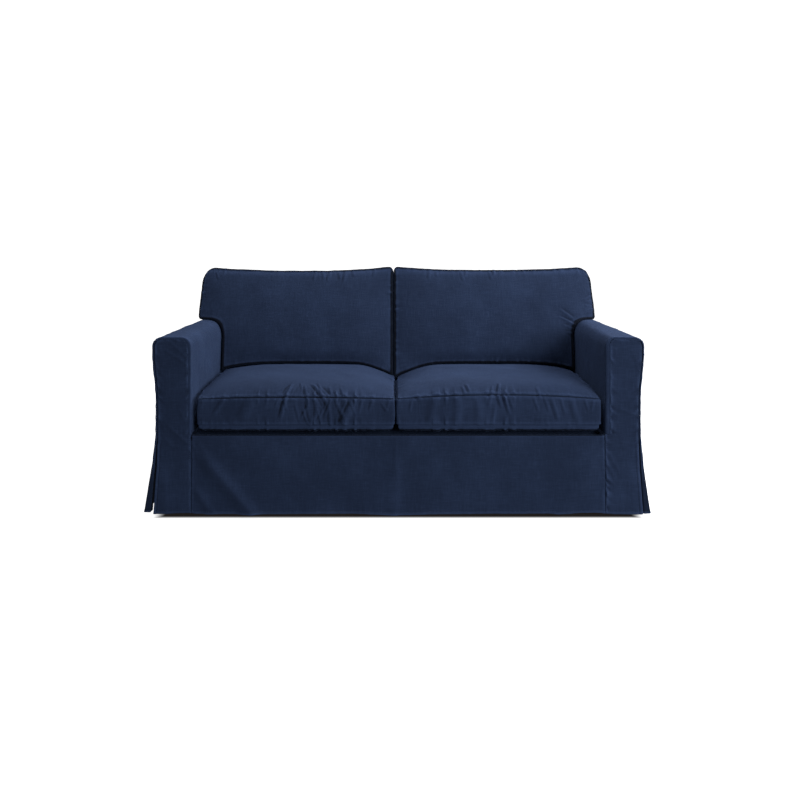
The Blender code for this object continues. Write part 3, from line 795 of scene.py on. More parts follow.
def make_arm_front(side, hand):
    seam = FRONT_SEAM[side]
    inner, top = ARM_INSIDE + seam + GAP, ARM_TOP - TOP_SEAM - GAP
    radii = INNER_ROUND[0] - 0.5 * (seam + TOP_SEAM), ARM_ROUND - 0.5 * (OUTER_SEAM + TOP_SEAM)
    level = np.array([*(DECK_TOP * stations(1.0, 0.014, (False, False))), DECK_TOP + GAP])
    straight = np.linspace(DECK_TOP + GAP, top - max(radii), 84)[1:]
    curve = top - max(radii) * (1 - np.sin(np.linspace(0, math.pi / 2, 18)[1:]))
    p, z = np.meshgrid(stations(0.115, 0.0036) / 0.115, np.concatenate([level, straight, curve]))
    rise = [np.maximum(0.0, z - top + radius) for radius in radii]
    cuts = [r - np.sqrt(np.maximum(0.0, r**2 - up**2)) for r, up in zip(radii, rise)]
    low = np.where(z > DECK_TOP, inner + cuts[0], APRON_HALF)
    outer = arm_side(z) - OUTER_SEAM - GAP + FRONT_FLARE * np.maximum(0.0, VENT_TOP - z)
    x = low + (outer - cuts[1] - low) * p
    from_low, from_outer = x - np.where(z > DECK_TOP, inner, APRON_HALF), outer - x
    distance = [to_outline(from_low, top - z, radii[0]), to_outline(from_outer, top - z, radii[1])]
    distance = np.maximum(np.minimum(*distance), 0.0)
    x = side * x
    y = -HALF_DEPTH - skirt_swing(z) - folds(FRONT_FOLDS, x, z)
    base = np.stack([x, y, hanging(z, read_off(HEM_FRONT, x))], -1)
    seed = 34 + 3 * side
    # the seam to the apron is drawn in, the one to the inside arm lies almost flat
    from_outer = outer - side * x
    beside_cushion = smooth(DECK_TOP - 0.02, DECK_TOP + 0.03, z) * (from_low < from_outer)
    open_side = (z < VENT_TOP) & (from_outer < 0.04)  # hemmed here, and sewn elsewhere
    groove = np.where(open_side, 0.0, 0.0020 - 0.0016 * beside_cushion)
    relief = beside_seam(distance, z + x, seed, groove) + hem_relief(z, x, 33)
    # slanting puckers where the seam was sewn tight, more of them on the right arm
    tight = 0.35 + 0.65 * smooth(-0.2, 0.3, hills(z / 0.11, distance / 0.2, seed + 8))
    puckers = hills((z + 0.7 * distance) / 0.0125, distance / 0.040, seed + 2) * tight
    puckers *= smooth(0.001, 0.005, distance) * bell(distance, 0.021) * PUCKERS[side] * ~open_side
    relief += 0.0085 * puckers
    relief += folds(FRONT_CREASES, x, z) + unevenness(x, z, seed + 4) * smooth(0, 0.02, distance)
    worn = seam_wear_and_shade(distance, 0.75 - 0.6 * beside_cushion, z + x, seed + 5) * ~open_side
    worn = worn + hem_wear_and_shade(z)
    # painted light on the whole front, more on the right and towards the foot, and painted light
    # and shade on the crests and troughs of the puckers
    painted_light = FRONT_PAINTED_LIGHT[side] + 0.16 * smooth(0.32, 0.22, z)
    worn += hem_wear_and_shade(distance) * open_side + 1.8 * puckers + painted_light
    grids = (base, relief, np.stack([(x - side * ARM_INSIDE) * side, z], -1), worn)
    name, cut = f"arm_front_{hand}", (float(np.ptp(x)), float(np.ptp(z)))
    sewn = ([hem_row(z), -6], [4, -5], 4)
    make_panel(name + "_cloth", name, grids, (0, -1, 0), "lrt", cut, sewn, seed)


for side, hand in HANDS:
    make_arm_front(side, hand)

# %% [markdown]
# ## The inside arms
# One panel runs up the inner face of an arm and over its top to a seam along the outer edge.
# Its front edge turns round a small radius onto the front. The arms grow a little thinner to
# the back, which the width of the panel follows.

# %% A front edge with its strip and its turn
STRIP = np.array([0.0, 0.16, 0.36, 0.64, 1.0])  # places on the strip between seam and turn
TURN = np.linspace(0.0, math.pi / 2, 8)[1:]  # angles round the turn
FOLDED = 9  # columns of a panel that lie on its front strip
REACH = 0.86  # mean length of an inside arm from its front seam to the inside back
INNER_PAINTED_LIGHT = {-1: 0.45, 1: 0.0}  # painted light on each inner face behind its front seam, here on the left only


def arm_inner(y):
    """x of an arm's inner face, which runs outwards to the back."""
    return ARM_INSIDE + ARM_TAPER * np.clip((y + HALF_DEPTH) / (2 * HALF_DEPTH), 0, 1)


def back_face(z):
    """y of the inside back's face."""
    return BACK_FOOT + BACK_RAKE * (z - DECK_TOP)


def front_edge(seam, radius, depth, deep, allowance):
    """A panel from its allowance and its seam on the front, round a small turn and back.

    All but deep are one value for each row. Gives for each column how far it lies inside its
    own plane and behind the front, and its way from the seam.
    """
    seam, radius, depth, allowance = (
        np.reshape(value, (-1, 1)) for value in (seam, radius, depth, allowance)
    )
    none, strip, back = 0.0 * seam, seam - radius, (depth - radius) * deep
    rest = none * deep
    inset = [seam, seam, radius + strip * (1 - STRIP), radius * (1 - np.sin(TURN)), rest]
    arc = radius * (1 - np.cos(TURN))
    behind = [none + allowance, none + 0.0012, none * STRIP, arc, radius + back]
    way = [none, none, strip * STRIP, strip + radius * TURN, strip + radius * math.pi / 2 + back]
    return [np.concatenate(parts, axis=1) for parts in (inset, behind, way)]


def flat_cut(way, along, behind):
    """Flat coordinates of such a panel, with its allowance on the far side of the seam."""
    flat = np.stack([way, along], -1)
    flat[:, :2, 0] = -behind[:, :2]
    return flat


print("reach of an inside arm:", REACH, "m")

# %% Inside arms
def make_inside_arm(side, hand):
    rows = stations(ARM_SEAM_PLACES[0] - GAP, 0.0064)
    share = (rows / ARM_SEAM_PLACES[0])[:, None]
    over_top = smooth(ARM_TOP - DECK_TOP - 0.040, ARM_TOP - DECK_TOP + 0.020, rows)
    seam = FRONT_SEAM[side] + (TOP_SEAM - FRONT_SEAM[side]) * over_top
    radius = np.minimum(0.55 * seam, 0.0085)
    depth = back_face(follow(ARM_LINES[0], rows)[1]) - GAP + HALF_DEPTH
    deep = np.linspace(0.0, 1.0, 118)[1:]
    inset, behind, way = front_edge(seam, radius, depth, deep, ALLOWANCE)
    t = np.clip(behind / 0.75, 0, 1)
    sections = [follow(line, share * place) for line, place in zip(ARM_LINES, ARM_SEAM_PLACES)]
    x, z, nx, nz = (front * (1 - t) + rear * t for front, rear in zip(*sections))
    y = -HALF_DEPTH + behind
    inward = np.clip((ARM_OUT - ARM_ROUND - x) / (ARM_OUT - ARM_ROUND - ARM_INSIDE), 0, 1)
    x = x + (arm_inner(y) - ARM_INSIDE) * inward - nx * inset
    base = np.stack([side * x, y, z - nz * inset], -1)
    seed = 54 + 3 * side
    v = np.broadcast_to(rows[:, None], x.shape)
    length = rows[-1]
    relief = 0.4 * beside_seam(way, v, seed, 0.0008)
    relief += beside_seam(length - v, y, seed + 2, 0.0016)
    relief += unevenness(y, v, seed + 6) * 1.5 * smooth(0.0, 0.02, way)
    relief[:, :2] = relief[:, 2:3]
    worn = seam_wear_and_shade(length - v, 0.4, y, seed + 3) + 0.3 * seam_wear_and_shade(way, 0.3, v, seed + 4)
    # wear and painted highlight along the top of the arm, where hands and arms rest, and painted
    # light on the inner face behind its front seam
    worn += 0.45 * smooth(ARM_TOP - 0.030, ARM_TOP - 0.004, z) + INNER_PAINTED_LIGHT[side] * bell(way, 0.16)
    grids = (base, relief, flat_cut(way, v, behind), worn)
    name, cut = f"inside_arm_{hand}", (REACH, length)
    make_panel(name + "_cloth", name, grids, (-side, 0, 0.6), "t", cut, folded=FOLDED)


for side, hand in HANDS:
    make_inside_arm(side, hand)

# %% [markdown]
# ## The outside arms
# Each outside arm falls from the seam along the arm's outer edge to the hem. It follows the
# swell of the padding, and below the open corners it swings out, most at its two ends.

# %% Outside arms
VENT_STRIP = 0.0185  # by which the front strip grows wider down the open corner
VENT_TURN = 0.014  # the same for the cloth turned in behind it


def make_outside_arm(side, hand):
    start = ARM_SEAM_PLACES[0] + GAP
    length = float(ARM_LINES[0][0][-1]) - start
    depth = 2 * HALF_DEPTH - LIP - GAP
    rows = stations(length, 0.0080)
    x, z, nx, nz = (value[:, None] for value in follow(ARM_LINES[0], start + rows))
    opened = np.maximum(0.0, VENT_TOP - z[:, 0]) / VENT_TOP
    seam = TOP_SEAM + (OUTER_SEAM - TOP_SEAM) * smooth(0.0, 0.04, rows) + VENT_STRIP * opened
    deep = stations(depth, 0.0088, (False, True))[1:] / depth
    allowance = ALLOWANCE + VENT_TURN * smooth(0.0, 0.5, opened)
    inset, behind, way = front_edge(seam, np.minimum(0.6 * seam, 0.0060), depth, deep, allowance)
    part = np.clip(behind / (2 * HALF_DEPTH), 0, 1)
    ends = 0.45 + 0.55 * np.abs(2 * part - 1) ** 1.5
    wave = 0.10 * np.sin(part * 3 * math.pi) * smooth(0.05, 0.25, part)
    swing = FLARE_SLOPE[side] * (ends + wave) * np.maximum(0.0, FLARE_FROM - z)
    x = x - (ARM_OUT - arm_side(z)) - nx * inset + swing
    y = -HALF_DEPTH + behind
    base = np.stack([side * x, y, hanging(z, HEM_SIDE[side]) - nz * inset], -1)
    v, z = np.broadcast_to(rows[:, None], y.shape), np.broadcast_to(z, y.shape)
    seed = 74 + 3 * side
    relief = beside_seam(v, y, seed) + beside_seam(way, z, seed + 2)
    relief += beside_seam(depth - behind, z, seed + 4) + hem_relief(z, y, seed + 6)
    relief += unevenness(y, z, seed + 8) * 1.6 * smooth(0.0, 0.02, way)
    relief += 0.0022 * hills(y / 0.10, z / 0.45, seed + 9) * smooth(0.34, 0.05, z)
    relief[:, :2] = relief[:, 2:3]
    opened = opened[:, None]
    sewn_part = 1 - smooth(0.20, 0.60, opened) * (way < 0.012)
    worn = seam_wear_and_shade(np.minimum(v, way)) * sewn_part + hem_wear_and_shade(z)
    # painted shade on the strip beside the open corner and on the cloth turned in behind it
    worn -= 1.2 * smooth(0.0, 0.15, opened) * (np.arange(way.shape[1]) < 2)
    worn -= 0.5 * smooth(0.0, 0.25, opened) * (way < seam[:, None])
    grids = (base, relief, flat_cut(way, z, behind), worn)
    name, cut, sewn = f"outside_arm_{hand}", (depth + ARM_ROUND, length), ((hem_row(z), 5), (), 12)
    make_panel(name + "_cloth", name, grids, (side, 0, 0), "br", cut, sewn, seed, FOLDED)


for side, hand in HANDS:
    make_outside_arm(side, hand)

# %% [markdown]
# ## The back
# The inside back runs from the deck up and over the top of the back, with a corner taken out
# at each side for the arms. The outside back falls from the rear top edge to the hem, and
# two narrow strips close the ends above the arms.

# %% Inside back
front_foot, front_top = (BACK_FOOT, DECK_TOP), (back_face(BACK_TOP), BACK_TOP)
rear_top, rear_foot = (HALF_DEPTH, BACK_TOP), (HALF_DEPTH, 0.0)
BACK_LINE = rounded_line((front_foot, front_top, rear_top, rear_foot), (BACK_ROUND, BACK_ROUND))
BACK_SEAM_PLACE = seam_place(BACK_LINE, BACK_TOP, BACK_ROUND)
BACK_WIDE = BACK_HALF - LIP - GAP  # half the width of both, between the back sides
BACK_SHARE = 0.93  # of the inside back's rectangle, without the corners taken out


def make_inside_back():
    narrow, wide = ARM_INSIDE, BACK_WIDE
    ends = np.linspace(narrow, wide, 12)[1:]
    columns = np.concatenate([-ends[::-1], np.linspace(-narrow, narrow, 112), ends])
    arm_level = (ARM_TOP + GAP - DECK_TOP) * math.sqrt(1 + BACK_RAKE**2)
    length = BACK_SEAM_PLACE - GAP
    upper = arm_level + stations(length - arm_level, 0.0085, (False, True))[1:]
    u, v = np.meshgrid(columns, np.concatenate([np.linspace(GAP, arm_level, 30), upper]))
    y, z, _, _ = follow(BACK_LINE, v)
    reach = (arm_inner(back_face(np.minimum(z, ARM_TOP))) - GAP) / narrow
    beyond = narrow * reach + (np.abs(u) - narrow) * (wide - narrow * reach) / (wide - narrow)
    x = np.sign(u) * np.where(np.abs(u) <= narrow + 1e-9, np.abs(u) * reach, beyond)
    base = np.stack([x, y, z], -1)
    relief = beside_seam(length - v, x, 91) + beside_seam(v, x, 92) + unevenness(u, v, 93) * 1.4
    relief += beside_seam(wide - np.abs(u), v, 94) * (v > arm_level - NEAR)
    middle = np.abs((u[:-1, :-1] + u[:-1, 1:]) / 2) < narrow
    keep = middle | (v[:-1, :-1] > arm_level - NEAR)
    grids = (base, relief, np.stack([u, v], -1), seam_wear_and_shade(length - v))
    cut, area = (2 * wide, length), 2 * wide * length * BACK_SHARE
    node = "inside_back"
    make_panel(node + "_cloth", node, grids, (0, -1, 0.5), "t", cut, keep=keep)


make_inside_back()

# %% Outside back
def make_outside_back():
    start = BACK_SEAM_PLACE + GAP
    length = float(BACK_LINE[0][-1]) - start
    p, v = np.meshgrid(stations(1.8, 0.0125) / 0.9 - 1, stations(length, 0.0120))
    y, z, _, _ = follow(BACK_LINE, start + v)
    below = arm_side(z) + FRONT_FLARE * np.maximum(0.0, VENT_TOP - z)
    half = np.where(z > ARM_SEAM_HEIGHT + GAP, BACK_WIDE, below)
    x = p * half
    y = y + (skirt_swing(z) + folds(BACK_FOLDS, x, z))
    base = np.stack([x, y, hanging(z, HEM_REAR)], -1)
    relief = beside_seam(v, x, 101) + beside_seam(half - np.abs(x), z, 103) + hem_relief(z, x, 105)
    relief += unevenness(x, z, 107) * 1.8
    relief += 0.0020 * hills(x / 0.13, z / 0.60, 109) * smooth(0.40, 0.05, z)
    worn = seam_wear_and_shade(np.minimum(v, half - np.abs(x))) + hem_wear_and_shade(z)
    grids = (base, relief, np.stack([x, z], -1), worn)
    cut, sewn = (2 * HALF_WIDTH, length), ([hem_row(z), 5], (), 4)
    make_panel("outside_back_cloth", "outside_back", grids, (0, 1, 0), "lrb", cut, sewn, 61)


make_outside_back()

# %% Ends of the back
def make_back_side(side, hand):
    foot = ARM_SEAM_HEIGHT + 2 * GAP
    start = BACK_TOP - BACK_ROUND
    curve = start + BACK_ROUND * np.sin(np.linspace(0, math.pi / 2, 9))[1:]
    heights = np.concatenate([foot + stations(start - foot, 0.006, (True, False)), curve])
    p, z = np.meshgrid(stations(0.15, 0.006) / 0.15, heights)
    above = np.maximum(0.0, z - start)
    cut = BACK_ROUND - np.sqrt(np.maximum(0.0, BACK_ROUND**2 - above**2))
    front = back_face(np.maximum(z, ARM_TOP)) + GAP + cut * 0.7
    y = front + (HALF_DEPTH - cut - front) * p
    base = np.stack([np.full_like(y, side * BACK_HALF), y, z], -1)
    distance = np.minimum(np.minimum(y - front, HALF_DEPTH - cut - y), z - foot)
    distance = np.maximum(distance, 0)
    relief = beside_seam(distance, z + y, 111 + side)
    grids = (base, relief, np.stack([y, z], -1), seam_wear_and_shade(distance))
    name, size = f"back_side_{hand}", (0.150, BACK_TOP - foot)
    make_panel(name + "_cloth", name, grids, (side, 0, 0), "lrb", size)


for side, hand in HANDS:
    make_back_side(side, hand)

# %% [markdown]
# ## The deck
# Under the seat cushions lies the deck, a plain panel that nobody sees while the cushions
# are on. It meets the apron just behind the front edge and the inside back at its foot.

# %% Deck
def make_deck():
    tab = APRON_HALF + GAP
    front = -HALF_DEPTH + DECK_ROUND + LIP + GAP
    behind = front + stations(BACK_FOOT - GAP - front, 0.02)
    rows = np.concatenate([[-HALF_DEPTH + LIP + GAP], behind])
    columns = np.concatenate([[-ARM_INSIDE], np.linspace(-tab, tab, 76), [ARM_INSIDE]])
    u, y = np.meshgrid(columns, rows)
    x = np.where(np.abs(u) > tab + 1e-9, np.sign(u) * (arm_inner(y) - GAP), u)
    base = np.stack([x, y, DECK_TOP - DIP * (1 - smooth(front + 0.030, front + 0.150, y))], -1)
    distance = np.minimum(y - rows[0], rows[-1] - y)
    inside = smooth(0.0, 0.05, distance) * smooth(ARM_INSIDE, ARM_INSIDE - 0.05, np.abs(x))
    relief = -0.0012 * (0.5 + 0.5 * hills(x / 0.15, y / 0.15, 121)) * inside
    keep = np.abs((u[:-1, :-1] + u[:-1, 1:]) / 2) > tab
    keep |= y[:-1, :-1] >= front - NEAR
    # painted shade: the deck is darkened towards its front, under the front edge of the cushions
    worn = -1.0 * (1 - smooth(front + 0.020, front + 0.110, y))
    grids = (base, relief, np.stack([x, y], -1), worn)
    cut = (2 * ARM_INSIDE, float(rows[-1] - rows[0]))
    make_panel("deck_cloth", "seat_deck", grids, (0, 0, 1), "", cut, keep=keep)


make_deck()

# %% [markdown]
# ## A cushion as a closed grid
# A boxed cushion has a top, a bottom and a border all round, sewn together along two seams.
# It is built as two grids, one for each face, joined by rows of border squares, so that each
# point knows its place on the flat cloth and its distance to the nearest seam. The back
# cushions are made the same way, with the corner under the ear left out of both grids.

# %% Closed grid
def closed_grid(us, vs, layers, missing=None):
    """A slab of squares: two outlines of cells and a border of layers between them.

    Gives each point's (column, row, layer) and the squares; missing(i, j) leaves a cell out.
    """
    columns, rows = len(us) - 1, len(vs) - 1
    cells = [(i, j) for j in range(rows) for i in range(columns) if not (missing and missing(i, j))]
    known, points, squares, kinds = {}, [], [], []

    def point(i, j, k):
        if (i, j, k) not in known:
            known[i, j, k] = len(points)
            points.append((i, j, k))
        return known[i, j, k]

    present, last = set(cells), layers - 1
    for i, j in cells:
        ring = ((i, j), (i + 1, j), (i + 1, j + 1), (i, j + 1))
        squares.append([point(a, b, 0) for a, b in reversed(ring)])
        squares.append([point(a, b, last) for a, b in ring])
        kinds += [0, 1]
        beyond = ((i, j - 1), (i + 1, j), (i, j + 1), (i - 1, j))
        for edge, other in enumerate(beyond):
            if other in present:
                continue
            (a, b), (c, d) = ring[edge], ring[(edge + 1) % 4]
            for k in range(last):
                near = [point(a, b, k), point(c, d, k)]
                squares.append([*near, point(c, d, k + 1), point(a, b, k + 1)])
                kinds.append(2 + edge)
    return np.array(points), np.array(squares), np.array(kinds)


print("squares of a slab of six cells:", len(closed_grid(range(4), range(3), 2)[1]))

# %% Filled form
def read(items, key, width=1):
    """The numbers of a mesh's points as an array."""
    values = np.empty(len(items) * width, np.float32)
    items.foreach_get(key, values)
    return values.reshape(-1, width).squeeze().astype(float)


def move_points(mesh, places):
    mesh.vertices.foreach_set("co", places.astype(np.float32).ravel())


def filled_form(name, places, squares, kinds, cut, values):
    """A closed, rounded mesh of a cushion. cut is each point's (u, v, w) on the flat cloth."""
    u, v, w = cut
    flat = np.empty((len(squares), 4, 2))
    for kind in range(6):  # two faces, and the four runs of the border
        chosen = squares[kinds == kind]
        run, height = (u, v) if kind < 2 else (v, w) if kind in (3, 5) else (u, w)
        flat[kinds == kind] = np.stack([run[chosen], height[chosen] + kind], -1)
    piece = cloth_object(name, places, squares, flat, values, cushion_cloth)
    facing = bmesh.new()
    facing.from_mesh(piece.data)
    if facing.calc_volume(signed=True) < 0:
        bmesh.ops.reverse_faces(facing, faces=facing.faces)
        facing.to_mesh(piece.data)
    facing.free()
    surface = piece.modifiers.new("round", "SUBSURF")
    surface.levels = surface.render_levels = 1
    return settled(piece)


print("a filled form is dyed as", cushion_cloth.name)

# %% Seams, gathers and wrinkles
def dress_cushion(piece, wrinkles, seed, gather, line, edge, dark, painted_light):
    """Seams, gathers and wrinkles on a filled cushion, along its own normals.

    gather is the height of the gathers, line the width of the painted shade along a seam, edge the
    share of the relief on all but the front; the argument after edge is the depth of that painted
    shade, and the last one the painted light on the front.
    """
    mesh = piece.data
    keys = ("seam", "along", "x_flat", "unrolled", "front", "upright", "pale")
    values = [read(mesh.attributes[key].data, "value") for key in keys]
    seam, along, x, unrolled, front, upright, pale = values
    relief = -0.0032 * bell(seam, 0.0028)
    pucker = 0.65 + 0.9 * hills(along / 0.011, seam / 0.03, seed)
    relief += 0.0019 * pucker * bell(seam - 0.0066, 0.0048)
    # short gathers at right angles to the seam, in loose groups
    group = np.clip(0.55 + 0.9 * hills(along / 0.085, seam / 0.40, seed + 3), 0.25, 1.3)
    slant = along + 0.25 * seam * hills(along / 0.05, seam / 0.50, seed + 4)
    fan = (np.maximum(0.0, hills(slant / 0.0115, seam / 0.12, seed + 1)) - 0.22) * group
    fan *= smooth(0.002, 0.008, seam) * bell(seam, 0.026)
    creased = folds(wrinkles, x, unrolled, 0.8) * (front > 0.5)
    relief = (relief + gather * fan) * np.where(front > 0.5, 1.0, edge) + creased
    relief += 0.0010 * hills(x / 0.05 + unrolled / 0.2, unrolled / 0.07, seed + 2)
    normals = read(mesh.vertex_normals, "vector", 3)
    move_points(mesh, read(mesh.vertices, "co", 3) + normals * relief[:, None])
    # paler on the ridge beside each seam and on the gathers, a little darker between the gathers
    worn = 0.7 * bell(seam - line - 0.0050, 0.0048) + 0.9 * fan
    # painted shade: a dark line along each seam, a pale line instead where pale is set
    worn += (0.8 * pale - dark * (1 - pale)) * bell(seam, line)
    # painted highlight where upright is set, and painted light and shade on the crests and troughs
    # of the wrinkles
    worn += 0.7 * upright + np.clip(creased / 0.004, -0.7, 0.5)
    # painted light on the front, and painted shade, near black, on the underside where no light
    # comes
    worn += painted_light * (front > 0.5) - 3.0 * (unrolled < -1e-6)
    store_value(mesh, "worn", worn)
    mesh.update()


def finish_cushion(piece, node):
    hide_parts(node)
    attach(piece, "root")
    print(piece.name, "faces", len(piece.data.polygons))


print("stitches of a cushion are", STITCH["Length"], "m long")

# %% [markdown]
# ## The seat cushions
# Each seat cushion is a boxed block of foam: a flat underside, a border that pulls in at its
# two seams, and a crowned top that the back cushion presses down at the rear. A simulation could
# blow a flat cover up, but what comes out has to be fitted to the known outline afterwards.
# Here the outline comes first: the filled form is written down as a formula.

# %% Measures of the seat cushions
SEAT_SPANS = {-1: (-0.7458, -0.0101), 1: (-0.0089, 0.7501)}
SEAT_FRONT, SEAT_REAR, SEAT_UNDERSIDE = -0.484, 0.184, DECK_TOP + GAP
SEAT_LOWER, SEAT_UPPER = 0.326, 0.425  # heights of the two seams
SEAT_BOW = {-1: 0.006, 1: 0.015}  # how far the upper seam rises in the middle
SEAT_SHOULDER, SEAT_CROWN, SEAT_LOADED, SEAT_SINK = 0.017, 0.034, 0.17, 0.024
SEAT_DRAWN_IN, SEAT_ROUND, SEAT_ROUND_UP = 0.0035, 0.030, 0.0345
SEAT_LOOK = {"gather": 0.0085, "line": 0.0024, "edge": 1.0, "dark": 1.25}
# painted light on the front and top of the right seat cushion
SEAT_PAINTED_LIGHT = {-1: 0.0, 1: 0.16}


def seat_top(side, across, depth):
    """Height of the top; across and depth run from -1 to 1."""
    sink = SEAT_SINK * smooth(0.55, 1.0, -side * across) * smooth(-0.6, 0.4, depth)
    bow = SEAT_BOW[side] * (1 - across**2) * (1 - smooth(-1.0, -0.4, depth))
    shoulder = SEAT_SHOULDER * (1 - np.abs(across) ** 13) ** 0.25 * (1 - np.abs(depth) ** 4)
    crown = SEAT_CROWN * (1 - np.abs(across) ** 3.9) * (1 - np.abs(depth) ** 7.4)
    loaded = 1 - SEAT_LOADED * smooth(0.20, 0.95, depth)
    return SEAT_UPPER + bow - sink + (shoulder + crown) * loaded


def seat_ends(side, y):
    """The two ends of a seat cushion in x, the outer one following the arm."""
    low, high = SEAT_SPANS[side]
    wider = arm_inner(y) - arm_inner(SEAT_FRONT)
    return (low - wider, high) if side < 0 else (low, high + wider)


print("crown of a seat:", np.round(seat_top(1, 0.0, -0.2), 3), "m")

# %% Wrinkles of the seat cushions
# x, and the height above the lower seam with the border and the top unrolled
SEAT_WRINKLES = {
    -1: in_metres((
        (-3950, 1650, -4220, 600, 47, 75, 46), (-3500, 1580, -3310, 820, 39, 61, 30),
        (-3220, 1650, -2750, 1000, 39, 68, 39), (-2860, 1480, -2560, 1120, 55, 45, -23),
        (-2580, 1480, -2480, 1180, 36, 45, 21), (-2970, 900, -3000, 420, 62, 68, 30),
        (-2530, 700, -2480, 150, 55, 68, 27), (-1630, 780, -1960, 100, 100, 140, 40),
        (-2280, 860, -2030, 400, 55, 61, 21), (-940, 920, -1020, 620, 47, 54, 21),
        (-630, 850, -460, 620, 39, 48, 19), (-3120, 320, -3220, 40, 62, 68, 23),
        (-5300, 940, -5600, 300, 140, 200, 17), (-6400, 920, -6680, 500, 62, 82, 21),
        (-3720, 1500, -3860, 1120, 39, 48, -14), (-3060, 1100, -2820, 700, 39, 45, -14),
        (-2700, 950, -2760, 350, 39, 45, -13), (-3400, 860, -3260, 300, 39, 48, 22),
        (-3180, 1500, -3060, 1180, 36, 45, -12), (-2360, 1300, -2260, 1060, 39, 45, 19),
        (-2050, 920, -2220, 500, 39, 48, -10), (-1780, 900, -1600, 500, 39, 54, 18),
        (-1300, 920, -1400, 560, 39, 54, 16), (-3800, 800, -3660, 300, 47, 54, 18),
        (-300, 920, -400, 600, 39, 54, 18), (-3520, 620, -3380, 200, 36, 45, 24),
        (-3300, 740, -3500, 360, 36, 45, 22), (-2960, 580, -2860, 180, 36, 45, 24),
        (-2720, 600, -2920, 240, 36, 45, 22), (-2460, 920, -2620, 500, 36, 45, 24),
        (-1900, 880, -2060, 520, 36, 45, 22), (-4200, 940, -4120, 640, 36, 45, 20),
        (-4400, 920, -4500, 700, 36, 45, 18), (-4100, 1480, -4200, 1180, 36, 45, 24),
        (-3660, 1760, -3580, 1400, 36, 45, 22), (-3000, 1720, -2900, 1360, 36, 45, 24),
        (-2140, 1460, -2060, 1180, 36, 45, 20),
    )),
    1: in_metres((
        (2550, 1520, 2640, 1200, 40, 60, 34), (2380, 1400, 2460, 1120, 40, 50, 24),
        (3800, 1580, 3720, 1180, 50, 50, 36), (3520, 1360, 3460, 1080, 40, 50, 22),
        (3470, 1060, 3380, 720, 50, 70, 28), (3660, 1060, 3780, 740, 40, 60, 32),
        (3880, 1060, 4060, 560, 40, 60, 32), (4040, 1040, 4200, 700, 40, 60, 24),
        (3600, 600, 3520, 200, 50, 70, 22), (5160, 1360, 5220, 1040, 50, 60, 28),
        (5000, 960, 5140, 620, 40, 60, 24), (5400, 980, 5520, 640, 40, 60, 22),
        (5680, 920, 5860, 400, 50, 80, 30), (6000, 920, 6120, 560, 40, 60, 22),
        (680, 1120, 780, 1000, 60, 80, 30), (520, 900, 460, 600, 50, 60, 22),
        (1400, 940, 1280, 200, 120, 160, 22), (2300, 940, 2260, 200, 120, 160, 22),
        (3000, 940, 3040, 200, 100, 140, 22), (6400, 940, 6620, 300, 80, 120, 24),
        (6900, 920, 7000, 640, 40, 60, 22), (7240, 920, 7160, 600, 40, 60, 22),
    )),
}


print("wrinkles:", [len(table) for table in SEAT_WRINKLES.values()])

# %% Spacing and rounded corners
BESIDE, CLEAR = 0.0042, 0.0100  # places of the first points beside a seam


def bend_corner(x, z, centre, way, radius, fade=0.0):
    """Rounds a square corner that points along way from the centre of its arc.

    With a fade the corner is a hollow one: the cloth lies beyond it, and moves less and less.
    """
    p, q = (x - centre[0]) / radius * way[0], (z - centre[1]) / radius * way[1]
    reach = np.maximum(np.maximum(p, q), 1e-6)
    in_corner = (p > 0) & (q > 0)
    scale = reach if fade else np.ones_like(reach)
    a, b = np.clip(p / scale, 0, 1), np.clip(q / scale, 0, 1)
    strength = np.clip(1 - (reach - 1) * radius / fade, 0, 1) ** 2 if fade else 1.0
    strength = np.where(in_corner, strength, 0.0)
    x = x + way[0] * radius * strength * (a * np.sqrt(1 - b * b / 2) - a)
    z = z + way[1] * radius * strength * (b * np.sqrt(1 - a * a / 2) - b)
    return x, z


def spaced(low, high, step):
    """Places from low to high, closer together beside the seams at both."""
    inner = np.linspace(low + CLEAR, high - CLEAR, round((high - low - 2 * CLEAR) / step) + 1)
    return [low, low + BESIDE, *inner, high - BESIDE, high]


print("a border of 99 mm has", len(spaced(0.0, 0.099, 0.0084)), "rows of points")

